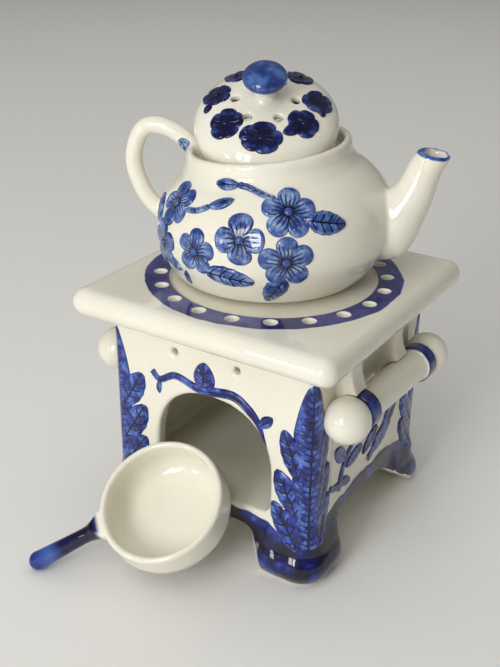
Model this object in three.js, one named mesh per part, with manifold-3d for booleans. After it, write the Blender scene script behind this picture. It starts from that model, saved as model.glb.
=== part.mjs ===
// A glazed pottery aroma lamp: a square stove on bracket feet with an arched door for a tea light,
// a thick top slab, a rail on each side, a small teapot with a pierced lid, and a little pan.
// Millimetres, +Z up, the door faces -Y, and the origin is under the middle of the whole set.

import * as THREE from 'three';
import { mergeVertices } from 'three/addons/utils/BufferGeometryUtils.js';
import Module from 'manifold-3d';

const wasm = await Module();
wasm.setup();

// Fits between pieces
const seatGap = 0.3;
const cutMargin = 2;

// Stove walls
const stoveWidth = 89.2;
const stoveCornerRadius = 4.5;
const wallThickness = 5.8;
const wallTop = 89.9;
const floorHeight = 25.8;
const floorThickness = 4.8;
const panelWidth = 60.4;
const panelRecess = 0.8;
const frontPanelRecess = 0.3;
const panelBottom = 27.5;

// Arched door
const doorWidth = 51.2;
const doorHeight = 41.4;
const doorJambHeight = 14.7;
const doorCornerRadius = 4.3;
const doorOffset = 1.4;
const doorRoundness = 2.3;

// Two vents above the door
const ventDiameter = 3.2;
const ventHeight = 81.3;
const ventPlaces = [-15.6, 11.8];

// Bracket feet; a gap's widths are at the table and under the apron
const footSwell = 3.9;
const footSwellHeight = 9;
const footHeight = 26;
const footTuck = 0.45;
const footCornerRadius = 11.5;
const footSwellStart = 18;
const footSwellEnd = 28;
const apronHeight = 17.5;
const apronCornerRadius = 6.5;
const footGapWidthLow = 49.4;
const footGapWidthHigh = 40.4;
const sideApronHeight = 21;
const sideGapFront = -25;
const sideGapBackLow = 40.5;
const sideGapBackHigh = 14;

// Top slab
const slabWidth = 112;
const slabThickness = 10.8;
const slabCornerRadius = 5.8;
const seatDiameter = 79.6;
const seatDepth = 1;
const heatHoleDiameter = 44;
const pitCount = 20;
const pitDiameter = 4.2;
const pitDepth = 3;
const pitCircleDiameter = 87.4;
const pitStart = 12;

// Side rails; they close in a little towards the front
const railDiameter = 12.6;
const railBallDiameter = 17.3;
const railBallSpan = 63.4;
const railBandDiameter = 14.9;
const railBandWidth = 6.2;
const railBandFromBall = 6.2;
const railBandRound = 0.7;
const railStandOff = 7.7;
const railHeight = 68.6;
const railPlace = -1.2;
const railToeIn = 2;
const bracketWidth = 9;
const bracketReach = 6.4;
const bracketWaist = 3.6;
const bracketPlaces = [-24, 9.5];

// Teapot body, in its own upright frame
const potX = -1.66;
const potY = 7.3;
const potLean = 6.2;
const potLeanDirection = 212.4;
const potFootRadius = 30.5;
const potFootHeight = 1.6;
const bellyRadius = 45.1;
const bellyLow = 20.5;
const bellyHigh = 23;
const bellyDrop = 31.5;
const bellyRise = 29.4;
const collarFoot = 42.8;
const collarTop = 50.2;
const collarRadius = 31;
const collarPinch = 0.9;
const lipThickness = 3;
const ledgeHeight = 45.8;
const potBoreRadius = 23.9;
const potWall = 4.2;
const potFloor = 6;

// Spout; its lines are [out from the belly's widest, up from the pot's base]
const spoutDirection = 18;
const spoutHalfWidths = [10, 10, 8, 6.4, 5.95];
const spoutBoreDiameter = 8.6;
const spoutUpperLine = [[-11, 26], [0.3, 33.5], [3.6, 37.3], [6.7, 42.8], [10.3, 47.2]];
const spoutLowerLine = [[-15, 5], [3.2, 6.7], [13.3, 24.1], [17.7, 36.5], [21.8, 44.2]];

// Pot handle; it leaves the collar and comes back to the belly, with lines taken like the spout's
const handleDiameter = 6.8;
const handleFromCollar = [[-4.5, 45.5], [1.6, 53.8]];
const handleToBelly = [[-3.3, 59], [4.4, 56.9], [9.1, 45.8], [6.8, 33.4], [1.1, 25.2], [-5.6, 20.5]];

// Lid
const lidRadius = 26.8;
const lidRise = 11.9;
const lidDrop = 13.5;
const lidWall = 3;
const lidTip = 27.5;
const lidTipDirection = -63;
const lidHoleCount = 6;
const lidHoleDiameter = 3.4;
const lidHoleCircleRadius = 10.9;
const lidHoleStart = 30;
const lidNeckRadius = 3.4;
const lidNeckFlare = 3.8;
const lidNeckWaist = 0.95;
const lidNeckTop = 16.6;
const knobRadius = 8;
const knobHalfHeight = 4.1;
const knobSeatDiameter = 5;

// Pan
const panX = -7;
const panTip = 34.9;
const panTurn = 2.8;
const panReach = 14.6;
const panBaseRadius = 15.5;
const panBellyRadius = 24.5;
const panBellyHeight = 10;
const panDepth = 18.6;
const panLipOuterRadius = 24.1;
const panWall = 2.5;
const panFloor = 3;
const panHandleDirection = 220.6;
const panHandleReach = 54;
const panHandleRootDrop = 3.4;
const panHandleRootRadius = 5.8;
const panHandleFlareRadius = 4.2;
const panHandleRadius = 3.1;
const panHandleEndRadius = 3.8;
const panHandleFlareLength = 9;

// How finely round shapes are cut into flats
const slabSides = 56;
const bodySides = 36;
const lidSides = 32;
const smallSides = 16;
const pitSides = 10;
const arcSteps = 6;

const cream = 0xe9e3d0;
const cobalt = 0x3f62a8;
const glaze = { roughness: 0.22, metalness: 0 };

const stoveHalf = stoveWidth / 2;
const roomHalf = stoveHalf - wallThickness;
const roomCornerRadius = 2;
const slabBottom = wallTop + seatGap;
const slabTop = slabBottom + slabThickness;
const potSeat = slabTop - seatDepth;
const degrees = THREE.MathUtils.degToRad;

// A level unit vector at an angle from +X
function heading(angle) {
  return new THREE.Vector3(Math.cos(degrees(angle)), Math.sin(degrees(angle)), 0);
}

// The turn that tips the upright axis by an angle towards a heading
function tipTowards(angle, direction) {
  const axis = new THREE.Vector3(0, 0, 1).cross(heading(direction));
  return new THREE.Quaternion().setFromAxisAngle(axis, degrees(angle));
}

// A closed triangle mesh as a solid that can be joined and cut
function toSolid(geometry) {
  const bare = geometry.clone();
  bare.deleteAttribute('normal');
  bare.deleteAttribute('uv');
  const merged = mergeVertices(bare, 1e-4);
  const points = merged.attributes.position.array;
  const index = merged.index.array;
  const triangles = [];
  let volume = 0;
  for (let i = 0; i < index.length; i += 3) {
    const [a, b, c] = [index[i], index[i + 1], index[i + 2]];
    if (a === b || b === c || c === a) continue;
    triangles.push(a, b, c);
    const p = new THREE.Vector3().fromArray(points, 3 * a);
    const q = new THREE.Vector3().fromArray(points, 3 * b);
    const r = new THREE.Vector3().fromArray(points, 3 * c);
    volume += p.dot(q.cross(r));
  }
  if (volume < 0) triangles.reverse();
  return new wasm.Manifold(new wasm.Mesh({
    numProp: 3,
    vertProperties: new Float32Array(points),
    triVerts: new Uint32Array(triangles),
  }));
}

// A solid as a mesh with its own name and colour
function toMesh(solid, name, color) {
  const { vertProperties, triVerts } = solid.getMesh();
  const geometry = new THREE.BufferGeometry();
  geometry.setAttribute('position', new THREE.BufferAttribute(new Float32Array(vertProperties), 3));
  geometry.setIndex(new THREE.BufferAttribute(new Uint32Array(triVerts), 1));
  geometry.computeVertexNormals();
  const mesh = new THREE.Mesh(geometry, new THREE.MeshStandardMaterial({ color, ...glaze }));
  mesh.name = name;
  return mesh;
}

function block(low, high) {
  const size = new THREE.Vector3().subVectors(high, low);
  const middle = new THREE.Vector3().addVectors(low, high).multiplyScalar(0.5);
  const geometry = new THREE.BoxGeometry(size.x, size.y, size.z);
  return toSolid(geometry.translate(middle.x, middle.y, middle.z));
}

// An upright cylinder from one height to another
function drill(radius, x, y, low, high, sides = smallSides) {
  const geometry = new THREE.CylinderGeometry(radius, radius, high - low, sides);
  return toSolid(geometry.rotateX(Math.PI / 2).translate(x, y, (low + high) / 2));
}

// A profile of [radius, height] points turned about the upright axis
function turned(profile, sides) {
  const points = profile.map(([radius, height]) => new THREE.Vector2(radius, height));
  return toSolid(new THREE.LatheGeometry(points, sides).rotateX(Math.PI / 2));
}

// Points of a quarter or other arc of an ellipse, as [radius, height]
function arc(centreRadius, centreHeight, across, up, from, to, steps = arcSteps) {
  return Array.from({ length: steps + 1 }, (_, i) => {
    const angle = degrees(from + (to - from) * i / steps);
    return [centreRadius + across * Math.cos(angle), centreHeight + up * Math.sin(angle)];
  });
}

// A closed skin over rings of points that all have the same count
function loft(rings) {
  const count = rings[0].length;
  const caps = [rings[0], rings[rings.length - 1]].map((ring) => {
    const middle = new THREE.Vector3();
    ring.forEach((point) => middle.addScaledVector(point, 1 / count));
    return middle;
  });
  const points = [...rings.flat(), ...caps];
  const lowCap = points.length - 2;
  const highCap = points.length - 1;
  const index = [];
  for (let i = 0; i < count; i += 1) {
    const next = (i + 1) % count;
    for (let ring = 0; ring < rings.length - 1; ring += 1) {
      const low = ring * count;
      const high = low + count;
      index.push(low + i, low + next, high + next, low + i, high + next, high + i);
    }
    const last = (rings.length - 1) * count;
    index.push(lowCap, next, i, highCap, last + i, last + next);
  }
  const geometry = new THREE.BufferGeometry().setFromPoints(points);
  geometry.setIndex(index);
  return toSolid(geometry);
}

// A level square with round corners; swell pushes its sides out by how far a point is from mid-side
function squareRing(half, cornerRadius, height, swell = null) {
  const straight = half - cornerRadius;
  const stations = swell ? [-0.92, -0.8, -0.68, -0.54, 0.54, 0.68, 0.8, 0.92] : [];
  const cornerSteps = 5;
  const ring = [];
  for (let side = 0; side < 4; side += 1) {
    const turn = degrees(90 * side);
    const add = (x, y) => ring.push(new THREE.Vector3(
      x * Math.cos(turn) - y * Math.sin(turn),
      x * Math.sin(turn) + y * Math.cos(turn),
      height,
    ));
    stations.forEach((share) => add(half + swell(Math.abs(share * straight)), share * straight));
    const rounding = cornerRadius + (swell ? swell(straight) : 0);
    for (let i = 0; i <= cornerSteps; i += 1) {
      const angle = degrees(90 * i / cornerSteps);
      add(straight + rounding * Math.cos(angle), straight + rounding * Math.sin(angle));
    }
  }
  return ring;
}

// A flat outline in X and Z pushed through along Y, centred on Y = 0
function throughY(shape, depth) {
  const geometry = new THREE.ExtrudeGeometry(shape, { depth, bevelEnabled: false, curveSegments: 8 });
  return toSolid(geometry.translate(0, 0, -depth / 2).rotateX(Math.PI / 2));
}

// How far the feet stand out of the walls at a height
function footSwellAt(height) {
  if (height >= footHeight) return 0;
  if (height <= footSwellHeight) {
    return footSwell * (1 - footTuck * ((footSwellHeight - height) / footSwellHeight) ** 2);
  }
  const share = (height - footSwellHeight) / (footHeight - footSwellHeight);
  return footSwell * Math.cos(share * Math.PI / 2) ** 2;
}

function stoveOutside() {
  const levels = 9;
  const heights = Array.from({ length: levels + 1 }, (_, i) => footHeight * i / levels);
  const rings = [...heights, wallTop].map((height) => {
    const out = footSwellAt(height);
    const corner = stoveCornerRadius + (footCornerRadius - stoveCornerRadius) * out / footSwell;
    const swell = (distance) => out * THREE.MathUtils.smoothstep(distance, footSwellStart, footSwellEnd);
    return squareRing(stoveHalf, corner - out, height, swell);
  });
  return loft(rings);
}

// The space between the feet seen from the front, under the apron
function frontGap() {
  const low = footGapWidthLow / 2;
  const high = footGapWidthHigh / 2;
  const shape = new THREE.Shape();
  shape.moveTo(-low, -cutMargin);
  shape.lineTo(-low, 0);
  shape.lineTo(-high, apronHeight - apronCornerRadius);
  shape.quadraticCurveTo(-high, apronHeight, -high + apronCornerRadius, apronHeight);
  shape.lineTo(high - apronCornerRadius, apronHeight);
  shape.quadraticCurveTo(high, apronHeight, high, apronHeight - apronCornerRadius);
  shape.lineTo(low, 0);
  shape.lineTo(low, -cutMargin);
  return throughY(shape, slabWidth);
}

// The longer space along a side, with an upright front foot and a slanting back one
function sideGap() {
  const shape = new THREE.Shape();
  shape.moveTo(sideGapFront, -cutMargin);
  shape.lineTo(sideGapFront, sideApronHeight - apronCornerRadius);
  shape.quadraticCurveTo(sideGapFront, sideApronHeight, sideGapFront + apronCornerRadius, sideApronHeight);
  shape.lineTo(sideGapBackHigh - apronCornerRadius, sideApronHeight);
  shape.quadraticCurveTo(
    sideGapBackHigh,
    sideApronHeight,
    sideGapBackHigh + apronCornerRadius,
    sideApronHeight * (1 - apronCornerRadius / (sideGapBackLow - sideGapBackHigh)),
  );
  shape.lineTo(sideGapBackLow, 0);
  shape.lineTo(sideGapBackLow, -cutMargin);
  return throughY(shape, slabWidth).rotate([0, 0, 90]);
}

function doorShape() {
  const half = doorWidth / 2;
  const spring = floorHeight + doorJambHeight;
  const rise = doorHeight - doorJambHeight;
  const corner = doorCornerRadius;
  const shape = new THREE.Shape();
  shape.moveTo(-half + corner, floorHeight);
  shape.lineTo(half - corner, floorHeight);
  shape.quadraticCurveTo(half, floorHeight, half, floorHeight + corner);
  const steps = 20;
  for (let i = 0; i <= steps; i += 1) {
    const angle = Math.PI * i / steps;
    const x = Math.sign(Math.cos(angle)) * Math.abs(Math.cos(angle)) ** (2 / doorRoundness);
    const z = Math.abs(Math.sin(angle)) ** (2 / doorRoundness);
    shape.lineTo(half * x, spring + rise * z);
  }
  shape.lineTo(-half, floorHeight + corner);
  shape.quadraticCurveTo(-half, floorHeight, -half + corner, floorHeight);
  return shape;
}

function makeStoveWalls() {
  const ends = [-cutMargin, wallTop + cutMargin];
  const room = loft(ends.map((height) => squareRing(roomHalf, roomCornerRadius, height)));
  let walls = stoveOutside().subtract(room).subtract(frontGap()).subtract(sideGap());

  const doorDepth = wallThickness + 2 * cutMargin;
  const door = throughY(doorShape(), doorDepth);
  walls = walls.subtract(door.translate([doorOffset, -stoveHalf + wallThickness / 2, 0]));

  for (const place of ventPlaces) {
    const vent = drill(ventDiameter / 2, 0, 0, -cutMargin, wallThickness + cutMargin, pitSides);
    walls = walls.subtract(vent.rotate([90, 0, 0]).translate([place, -roomHalf, ventHeight]));
  }

  const halfPanel = panelWidth / 2;
  for (let side = 0; side < 4; side += 1) {
    const recess = side % 2 === 0 ? panelRecess : frontPanelRecess;
    const panel = block(
      new THREE.Vector3(stoveHalf - recess, -halfPanel, panelBottom),
      new THREE.Vector3(stoveHalf + cutMargin, halfPanel, wallTop + cutMargin),
    );
    walls = walls.subtract(panel.rotate([0, 0, 90 * side]));
  }
  return toMesh(walls, 'stove_walls', cream);
}

// The shelf that the tea light stands on, level with the door's sill
function makeStoveFloor() {
  const faces = [floorHeight - floorThickness, floorHeight];
  const floor = loft(faces.map((height) => squareRing(roomHalf - seatGap, roomCornerRadius, height)));
  return toMesh(floor, 'stove_floor', cream);
}

function makeTopSlab() {
  const edge = slabThickness / 2;
  const middle = slabBottom + edge;
  const edgeSteps = 8;
  const rings = Array.from({ length: edgeSteps + 1 }, (_, i) => {
    const angle = degrees(-90 + 180 * i / edgeSteps);
    const inset = edge * (1 - Math.cos(angle));
    const corner = slabCornerRadius - inset;
    return squareRing(slabWidth / 2 - inset, corner, middle + edge * Math.sin(angle));
  });
  let slab = loft(rings);
  slab = slab.subtract(drill(seatDiameter / 2, 0, 0, potSeat, slabTop + cutMargin, slabSides));
  slab = slab.subtract(drill(heatHoleDiameter / 2, 0, 0, slabBottom - cutMargin, slabTop, bodySides));
  for (let i = 0; i < pitCount; i += 1) {
    const place = heading(pitStart + 360 * i / pitCount).multiplyScalar(pitCircleDiameter / 2);
    const pit = drill(pitDiameter / 2, place.x, place.y, slabTop - pitDepth, slabTop + cutMargin, pitSides);
    slab = slab.subtract(pit);
  }
  return toMesh(slab, 'top_slab', cream);
}

// A bar with a ball at each end and a raised band beside each ball, grown all round by a gap
function railRound(gap) {
  const ballRadius = railBallDiameter / 2 + gap;
  const barRadius = railDiameter / 2 + gap;
  const bandRadius = railBandDiameter / 2 + gap;
  const ballPlace = railBallSpan / 2;
  const bandOuter = ballPlace - railBandFromBall + gap;
  const bandInner = ballPlace - railBandFromBall - railBandWidth - gap;
  const endAngle = THREE.MathUtils.radToDeg(Math.asin((ballPlace - bandOuter) / ballRadius));
  const half = [
    [0, ballPlace + ballRadius],
    ...arc(0, ballPlace, ballRadius, ballRadius, 90, -endAngle, 8).slice(1),
    [bandRadius, bandOuter - railBandRound],
    [bandRadius, bandInner + railBandRound],
    [barRadius, bandInner],
  ];
  const mirrored = half.map(([radius, place]) => [radius, -place]).reverse();
  const rail = turned([...half, ...mirrored], smallSides).rotate([90, 0, -railToeIn]);
  return rail.translate([stoveHalf + railStandOff, railPlace, railHeight]);
}

// The rail is cut flat where its balls meet the wall
function makeRail(name, side) {
  const wall = block(
    new THREE.Vector3(-slabWidth, -slabWidth, 0),
    new THREE.Vector3(stoveHalf + seatGap, slabWidth, slabTop),
  );
  const rail = railRound(0).subtract(wall);
  return toMesh(side > 0 ? rail : rail.mirror([1, 0, 0]), name, cream);
}

// Of the parts that a cut leaves, the one with the most in it
function largest(solid) {
  return solid.decompose().sort((a, b) => b.volume() - a.volume())[0];
}

// A gusset between the wall, the underside of the slab and the top of the rail
function makeRailBracket(name, side, place) {
  const wallFace = stoveHalf - panelRecess + seatGap;
  const outerFace = stoveHalf + railStandOff;
  const railTop = railHeight + railBandDiameter / 2;
  const top = slabBottom - seatGap;
  const shape = new THREE.Shape();
  shape.moveTo(wallFace, railHeight);
  shape.lineTo(outerFace, railHeight);
  shape.lineTo(outerFace, railTop);
  shape.quadraticCurveTo(stoveHalf + bracketWaist, (railTop + top) / 2, stoveHalf + bracketReach, top);
  shape.lineTo(wallFace, top);
  const whole = throughY(shape, bracketWidth).translate([0, place, 0]).subtract(railRound(seatGap));
  const bracket = largest(whole);
  return toMesh(side > 0 ? bracket : bracket.mirror([1, 0, 0]), name, cream);
}

// The pot stands a few degrees out of true on a level foot
const pot = new THREE.Group();
pot.position.set(potX, potY, potSeat);
pot.quaternion.copy(tipTowards(potLean, potLeanDirection));
pot.updateMatrixWorld();

// The belly's radius at a height, on a shape that is smaller all round by an inset
function bellyArcs(inset) {
  const across = bellyRadius - inset;
  const drop = bellyDrop - inset;
  const rise = bellyRise - inset;
  return { across, drop, rise };
}

// The outer profile from below the foot to the lip's crest, grown by a gap
function potOutline(gap) {
  const { across, drop, rise } = bellyArcs(-gap);
  const skew = Math.tan(degrees(potLean)) * bellyRadius;
  const lowest = -THREE.MathUtils.radToDeg(Math.asin((bellyLow + skew) / drop));
  const highest = THREE.MathUtils.radToDeg(Math.asin((collarFoot - bellyHigh) / rise));
  const lipRadius = lipThickness / 2 + gap;
  const lower = arc(0, bellyLow, across, drop, lowest, 0, 7);
  const upper = arc(0, bellyHigh, across, rise, 0, highest, 7);
  const shoulder = upper[upper.length - 1][0];
  const collarMiddle = (shoulder + collarRadius + gap) / 2 - collarPinch;
  return [
    ...lower,
    ...upper,
    [collarMiddle, (collarFoot + collarTop) / 2],
    ...arc(collarRadius - lipThickness / 2, collarTop, lipRadius, lipRadius, 0, 90, 3),
  ];
}

// The pot's outside as a filled shape, which cuts whatever is luted to it
function potFilled(gap) {
  const outline = potOutline(gap);
  const bottom = outline[0][1];
  const top = outline[outline.length - 1][1];
  return turned([[0, bottom], ...outline, [0, top]], bodySides);
}

function potRound() {
  const { across, drop, rise } = bellyArcs(potWall);
  const lipRadius = lipThickness / 2;
  const mouthRadius = collarRadius - lipThickness;
  const boreAngle = THREE.MathUtils.radToDeg(Math.acos(potBoreRadius / across));
  const floorAngle = -THREE.MathUtils.radToDeg(Math.asin((bellyLow - potFloor) / drop));
  const outline = potOutline(0);
  const profile = [
    [0, outline[0][1]],
    ...outline,
    ...arc(collarRadius - lipRadius, collarTop, lipRadius, lipRadius, 90, 180, 3).slice(1),
    [mouthRadius, ledgeHeight],
    [potBoreRadius, ledgeHeight],
    ...arc(0, bellyHigh, across, rise, boreAngle, 0, 5),
    ...arc(0, bellyLow, across, drop, 0, floorAngle, 5),
    [0, potFloor],
  ];
  return turned(profile, bodySides);
}

// A half space under a world height, in the pot's own frame
function belowInPot(height) {
  const reach = 3 * bellyRadius;
  const slab = new THREE.BoxGeometry(reach, reach, reach);
  slab.translate(potX, potY, height - reach / 2);
  return toSolid(slab.applyMatrix4(pot.matrixWorld.clone().invert()));
}

// Rings along the spout, from inside the belly to the tip; bore picks its hollow
function spoutRings(bore) {
  const stations = 12;
  const along = (line) => new THREE.SplineCurve(line.map(([out, up]) => new THREE.Vector2(bellyRadius + out, up)));
  const upper = along(spoutUpperLine);
  const lower = along(spoutLowerLine);
  const width = new THREE.SplineCurve(spoutHalfWidths.map((half, i) => new THREE.Vector2(i, half)));
  const rings = [];
  for (let i = 0; i <= stations; i += 1) {
    const share = i / stations;
    const top = upper.getPoint(share);
    const bottom = lower.getPoint(share);
    const middle = top.clone().add(bottom).multiplyScalar(0.5);
    const rise = top.clone().sub(middle);
    const half = bore ? spoutBoreDiameter / 2 : width.getPoint(share).y;
    if (bore) rise.setLength(half);
    rings.push(Array.from({ length: smallSides }, (_, k) => {
      const angle = 2 * Math.PI * k / smallSides;
      const point = middle.clone().addScaledVector(rise, Math.cos(angle));
      return new THREE.Vector3(point.x, half * Math.sin(angle), point.y);
    }));
  }
  if (bore) {
    const [last, before] = [rings[stations], rings[stations - 1]];
    rings.push(last.map((point, k) => point.clone().multiplyScalar(2).sub(before[k])));
  }
  return rings;
}

function spoutBore() {
  return loft(spoutRings(true)).rotate([0, 0, spoutDirection]);
}

// The level foot under the belly
function potFoot() {
  const bottom = potSeat + seatGap;
  const top = potSeat + potFootHeight + potFloor / 2;
  const foot = new THREE.CylinderGeometry(potFootRadius, potFootRadius, top - bottom, bodySides);
  foot.rotateX(Math.PI / 2).translate(potX, potY, (top + bottom) / 2);
  return toSolid(foot.applyMatrix4(pot.matrixWorld.clone().invert()));
}

function makePotBody() {
  const belly = potRound().subtract(belowInPot(potSeat + potFootHeight));
  return toMesh(belly.add(potFoot()).subtract(spoutBore()), 'pot_body', cream);
}

function makePotSpout() {
  const outside = loft(spoutRings(false)).rotate([0, 0, spoutDirection]);
  return toMesh(outside.subtract(potFilled(seatGap)).subtract(spoutBore()), 'pot_spout', cream);
}

// A round strap from the collar over and down to the belly, opposite the spout
function makePotHandle() {
  const path = new THREE.CatmullRomCurve3([
    ...handleFromCollar.map(([out, up]) => new THREE.Vector3(-collarRadius - out, 0, up)),
    ...handleToBelly.map(([out, up]) => new THREE.Vector3(-bellyRadius - out, 0, up)),
  ]);
  const section = new THREE.Shape();
  section.absarc(0, 0, handleDiameter / 2, 0, 2 * Math.PI);
  const strap = new THREE.ExtrudeGeometry(section, { steps: 28, curveSegments: 6, extrudePath: path });
  const handle = toSolid(strap).rotate([0, 0, spoutDirection]).subtract(potFilled(seatGap));
  return toMesh(handle, 'pot_handle', cream);
}

// The lid's round lower edge sits on the ledge in the pot's mouth like a ball in a cup
function lidCentre() {
  const reach = Math.sqrt((lidRadius + seatGap) ** 2 - potBoreRadius ** 2);
  return pot.localToWorld(new THREE.Vector3(0, 0, ledgeHeight + reach));
}

function makeLidDome() {
  const inner = lidRadius - lidWall;
  const dropAngle = -THREE.MathUtils.radToDeg(Math.asin(lidDrop / lidRadius));
  const innerDrop = -THREE.MathUtils.radToDeg(Math.asin(lidDrop / inner));
  const flareRadius = lidNeckRadius + lidNeckFlare;
  const flareAngle = THREE.MathUtils.radToDeg(Math.acos(flareRadius / lidRadius));
  const flareHeight = lidRise * Math.sin(degrees(flareAngle));
  const neckTop = lidNeckTop - seatGap;
  const profile = [
    ...arc(0, 0, lidRadius, lidRadius, dropAngle, 0, 5),
    ...arc(0, 0, lidRadius, lidRise, 0, flareAngle, 7).slice(1),
    [lidNeckRadius + lidNeckWaist, flareHeight + (neckTop - flareHeight) / 3],
    [lidNeckRadius, neckTop],
    [0, neckTop],
    [0, lidRise - lidWall],
    ...arc(0, 0, inner, lidRise - lidWall, 90, 0, 5).slice(1),
    ...arc(0, 0, inner, inner, 0, innerDrop, 3).slice(1),
  ];
  profile.push(profile[0]);
  let dome = turned(profile, lidSides);
  for (let i = 0; i < lidHoleCount; i += 1) {
    const place = heading(lidTipDirection + lidHoleStart + 360 * i / lidHoleCount);
    place.multiplyScalar(lidHoleCircleRadius);
    dome = dome.subtract(drill(lidHoleDiameter / 2, place.x, place.y, 0, lidNeckTop, pitSides));
  }
  return toMesh(dome, 'lid_dome', cream);
}

function makeLidKnob() {
  const seatAngle = THREE.MathUtils.radToDeg(Math.asin(knobSeatDiameter / 2 / knobRadius));
  const centre = lidNeckTop + knobHalfHeight * Math.cos(degrees(seatAngle));
  const profile = [
    [0, lidNeckTop],
    ...arc(0, centre, knobRadius, knobHalfHeight, -90 + seatAngle, 90, 9).slice(0, -1),
    [0, centre + knobHalfHeight],
  ];
  return toMesh(turned(profile, smallSides), 'lid_knob', cobalt);
}

// The pan leans with its base on the door's sill and the end of its handle on the table
const pan = new THREE.Group();
pan.rotation.set(degrees(panTip), 0, degrees(panTurn), 'ZXY');
pan.updateMatrixWorld();

function placePan() {
  const sill = new THREE.Vector3(panX, -stoveHalf, floorHeight);
  const back = new THREE.Vector3(0, 1, 0).applyQuaternion(pan.quaternion);
  const up = new THREE.Vector3(0, 0, 1).applyQuaternion(pan.quaternion);
  pan.position.copy(sill).addScaledVector(back, -panReach).addScaledVector(up, seatGap);
  pan.position.x = panX;
  pan.updateMatrixWorld();
}

function panOutline(gap) {
  const round = panWall / 2 + gap;
  const lipRadius = panLipOuterRadius - panWall / 2;
  return [
    ...arc(panBaseRadius, panBellyHeight, panBellyRadius - panBaseRadius + gap, panBellyHeight + gap, -90, 0),
    ...arc(lipRadius, panDepth - panWall / 2, round, round, 0, 90, 3),
  ];
}

function makePanBowl() {
  const lipRadius = panLipOuterRadius - panWall / 2;
  const round = panWall / 2;
  const innerRadius = panBellyRadius - panWall;
  const profile = [
    [0, 0],
    ...panOutline(0),
    ...arc(lipRadius, panDepth - round, round, round, 90, 180, 3).slice(1),
    ...arc(panBaseRadius, panBellyHeight, innerRadius - panBaseRadius, panBellyHeight - panFloor, 0, -90),
    [0, panFloor],
  ];
  return toMesh(turned(profile, lidSides), 'pan_bowl', cream);
}

function makePanHandle() {
  const out = heading(panHandleDirection);
  const root = out.clone().multiplyScalar(panBellyRadius - panWall);
  root.z = panDepth - panHandleRootDrop;
  const end = out.clone().multiplyScalar(panHandleReach);
  const level = end.clone().applyMatrix4(pan.matrixWorld).z;
  end.z = (panHandleEndRadius - level) / Math.cos(degrees(panTip));

  const length = root.distanceTo(end);
  const flare = panHandleFlareLength;
  const profile = [
    [0, 0],
    [panHandleRootRadius, 0],
    [panHandleFlareRadius, flare / 2],
    [panHandleRadius, flare],
    [panHandleRadius, length / 2],
    ...arc(0, length, panHandleEndRadius, panHandleEndRadius, -15, 90, 6).slice(0, -1),
    [0, length + panHandleEndRadius],
  ];
  const points = profile.map(([radius, height]) => new THREE.Vector2(radius, height));
  const spindle = new THREE.LatheGeometry(points, smallSides).rotateX(Math.PI / 2);
  const direction = end.clone().sub(root).normalize();
  const turn = new THREE.Quaternion().setFromUnitVectors(new THREE.Vector3(0, 0, 1), direction);
  spindle.applyQuaternion(turn).translate(root.x, root.y, root.z);
  const outline = panOutline(seatGap);
  const bowl = turned([[0, outline[0][1]], ...outline, [0, outline[outline.length - 1][1]]], lidSides);
  return toMesh(toSolid(spindle).subtract(bowl), 'pan_handle', cobalt);
}

const lamp = new THREE.Group();
lamp.add(makeStoveWalls(), makeStoveFloor(), makeTopSlab());
for (const [sideName, side] of [['left', -1], ['right', 1]]) {
  lamp.add(makeRail(`rail_${sideName}`, side));
  const [front, back] = bracketPlaces;
  lamp.add(makeRailBracket(`rail_bracket_${sideName}_front`, side, front));
  lamp.add(makeRailBracket(`rail_bracket_${sideName}_back`, side, back));
}

pot.add(makePotBody(), makePotSpout(), makePotHandle());
lamp.add(pot);

const lid = new THREE.Group();
lid.position.copy(lidCentre());
lid.quaternion.copy(tipTowards(lidTip, lidTipDirection));
lid.add(makeLidDome(), makeLidKnob());
lamp.add(lid);

placePan();
pan.add(makePanBowl(), makePanHandle());
lamp.add(pan);

// The origin goes under the middle of the set's own box
lamp.updateMatrixWorld(true);
const bounds = new THREE.Box3().setFromObject(lamp, true);
lamp.position.x = -(bounds.min.x + bounds.max.x) / 2;
lamp.position.y = -(bounds.min.y + bounds.max.y) / 2;
lamp.position.z = -bounds.min.z;
lamp.updateMatrixWorld(true);

export default lamp;
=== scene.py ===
# %% [markdown]
# # A glazed pottery aroma lamp
# A square stove on bracket feet holds a tea light behind its arched door. A thick slab lies on the
# stove, a rail hangs at each side, and a small teapot, its pierced lid and a little pan are loose.
# All of it is ivory clay under a clear gloss glaze, with moulded flowers and leaves painted in cobalt.
# The measured model comes in first: it gives the places, and this script gives the looks.

# %% Load the measured model
import math

import bmesh
import bpy
from mathutils import Matrix, Quaternion, Vector
from mathutils.bvhtree import BVHTree


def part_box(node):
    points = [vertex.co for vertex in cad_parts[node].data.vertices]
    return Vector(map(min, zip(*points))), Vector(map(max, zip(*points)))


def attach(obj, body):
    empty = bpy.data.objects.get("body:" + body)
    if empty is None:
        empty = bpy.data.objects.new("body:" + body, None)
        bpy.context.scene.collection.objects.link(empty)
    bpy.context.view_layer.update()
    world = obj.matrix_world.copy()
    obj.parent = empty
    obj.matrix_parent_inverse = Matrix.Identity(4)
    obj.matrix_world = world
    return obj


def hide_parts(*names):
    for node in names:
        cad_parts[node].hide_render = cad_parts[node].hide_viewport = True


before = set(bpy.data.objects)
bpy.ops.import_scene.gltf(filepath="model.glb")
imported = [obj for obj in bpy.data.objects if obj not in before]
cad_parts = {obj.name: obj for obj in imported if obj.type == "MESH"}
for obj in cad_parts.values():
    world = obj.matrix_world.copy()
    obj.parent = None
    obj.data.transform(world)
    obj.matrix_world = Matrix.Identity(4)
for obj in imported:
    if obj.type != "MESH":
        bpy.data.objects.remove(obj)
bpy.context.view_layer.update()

MM = 0.001

# %% [markdown]
# ## The camera
# The camera stands in front of the door, well to its right, and looks down at the set. Three unit
# vectors, worked out from how far it is turned, tipped and rolled, fill its matrix.

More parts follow.
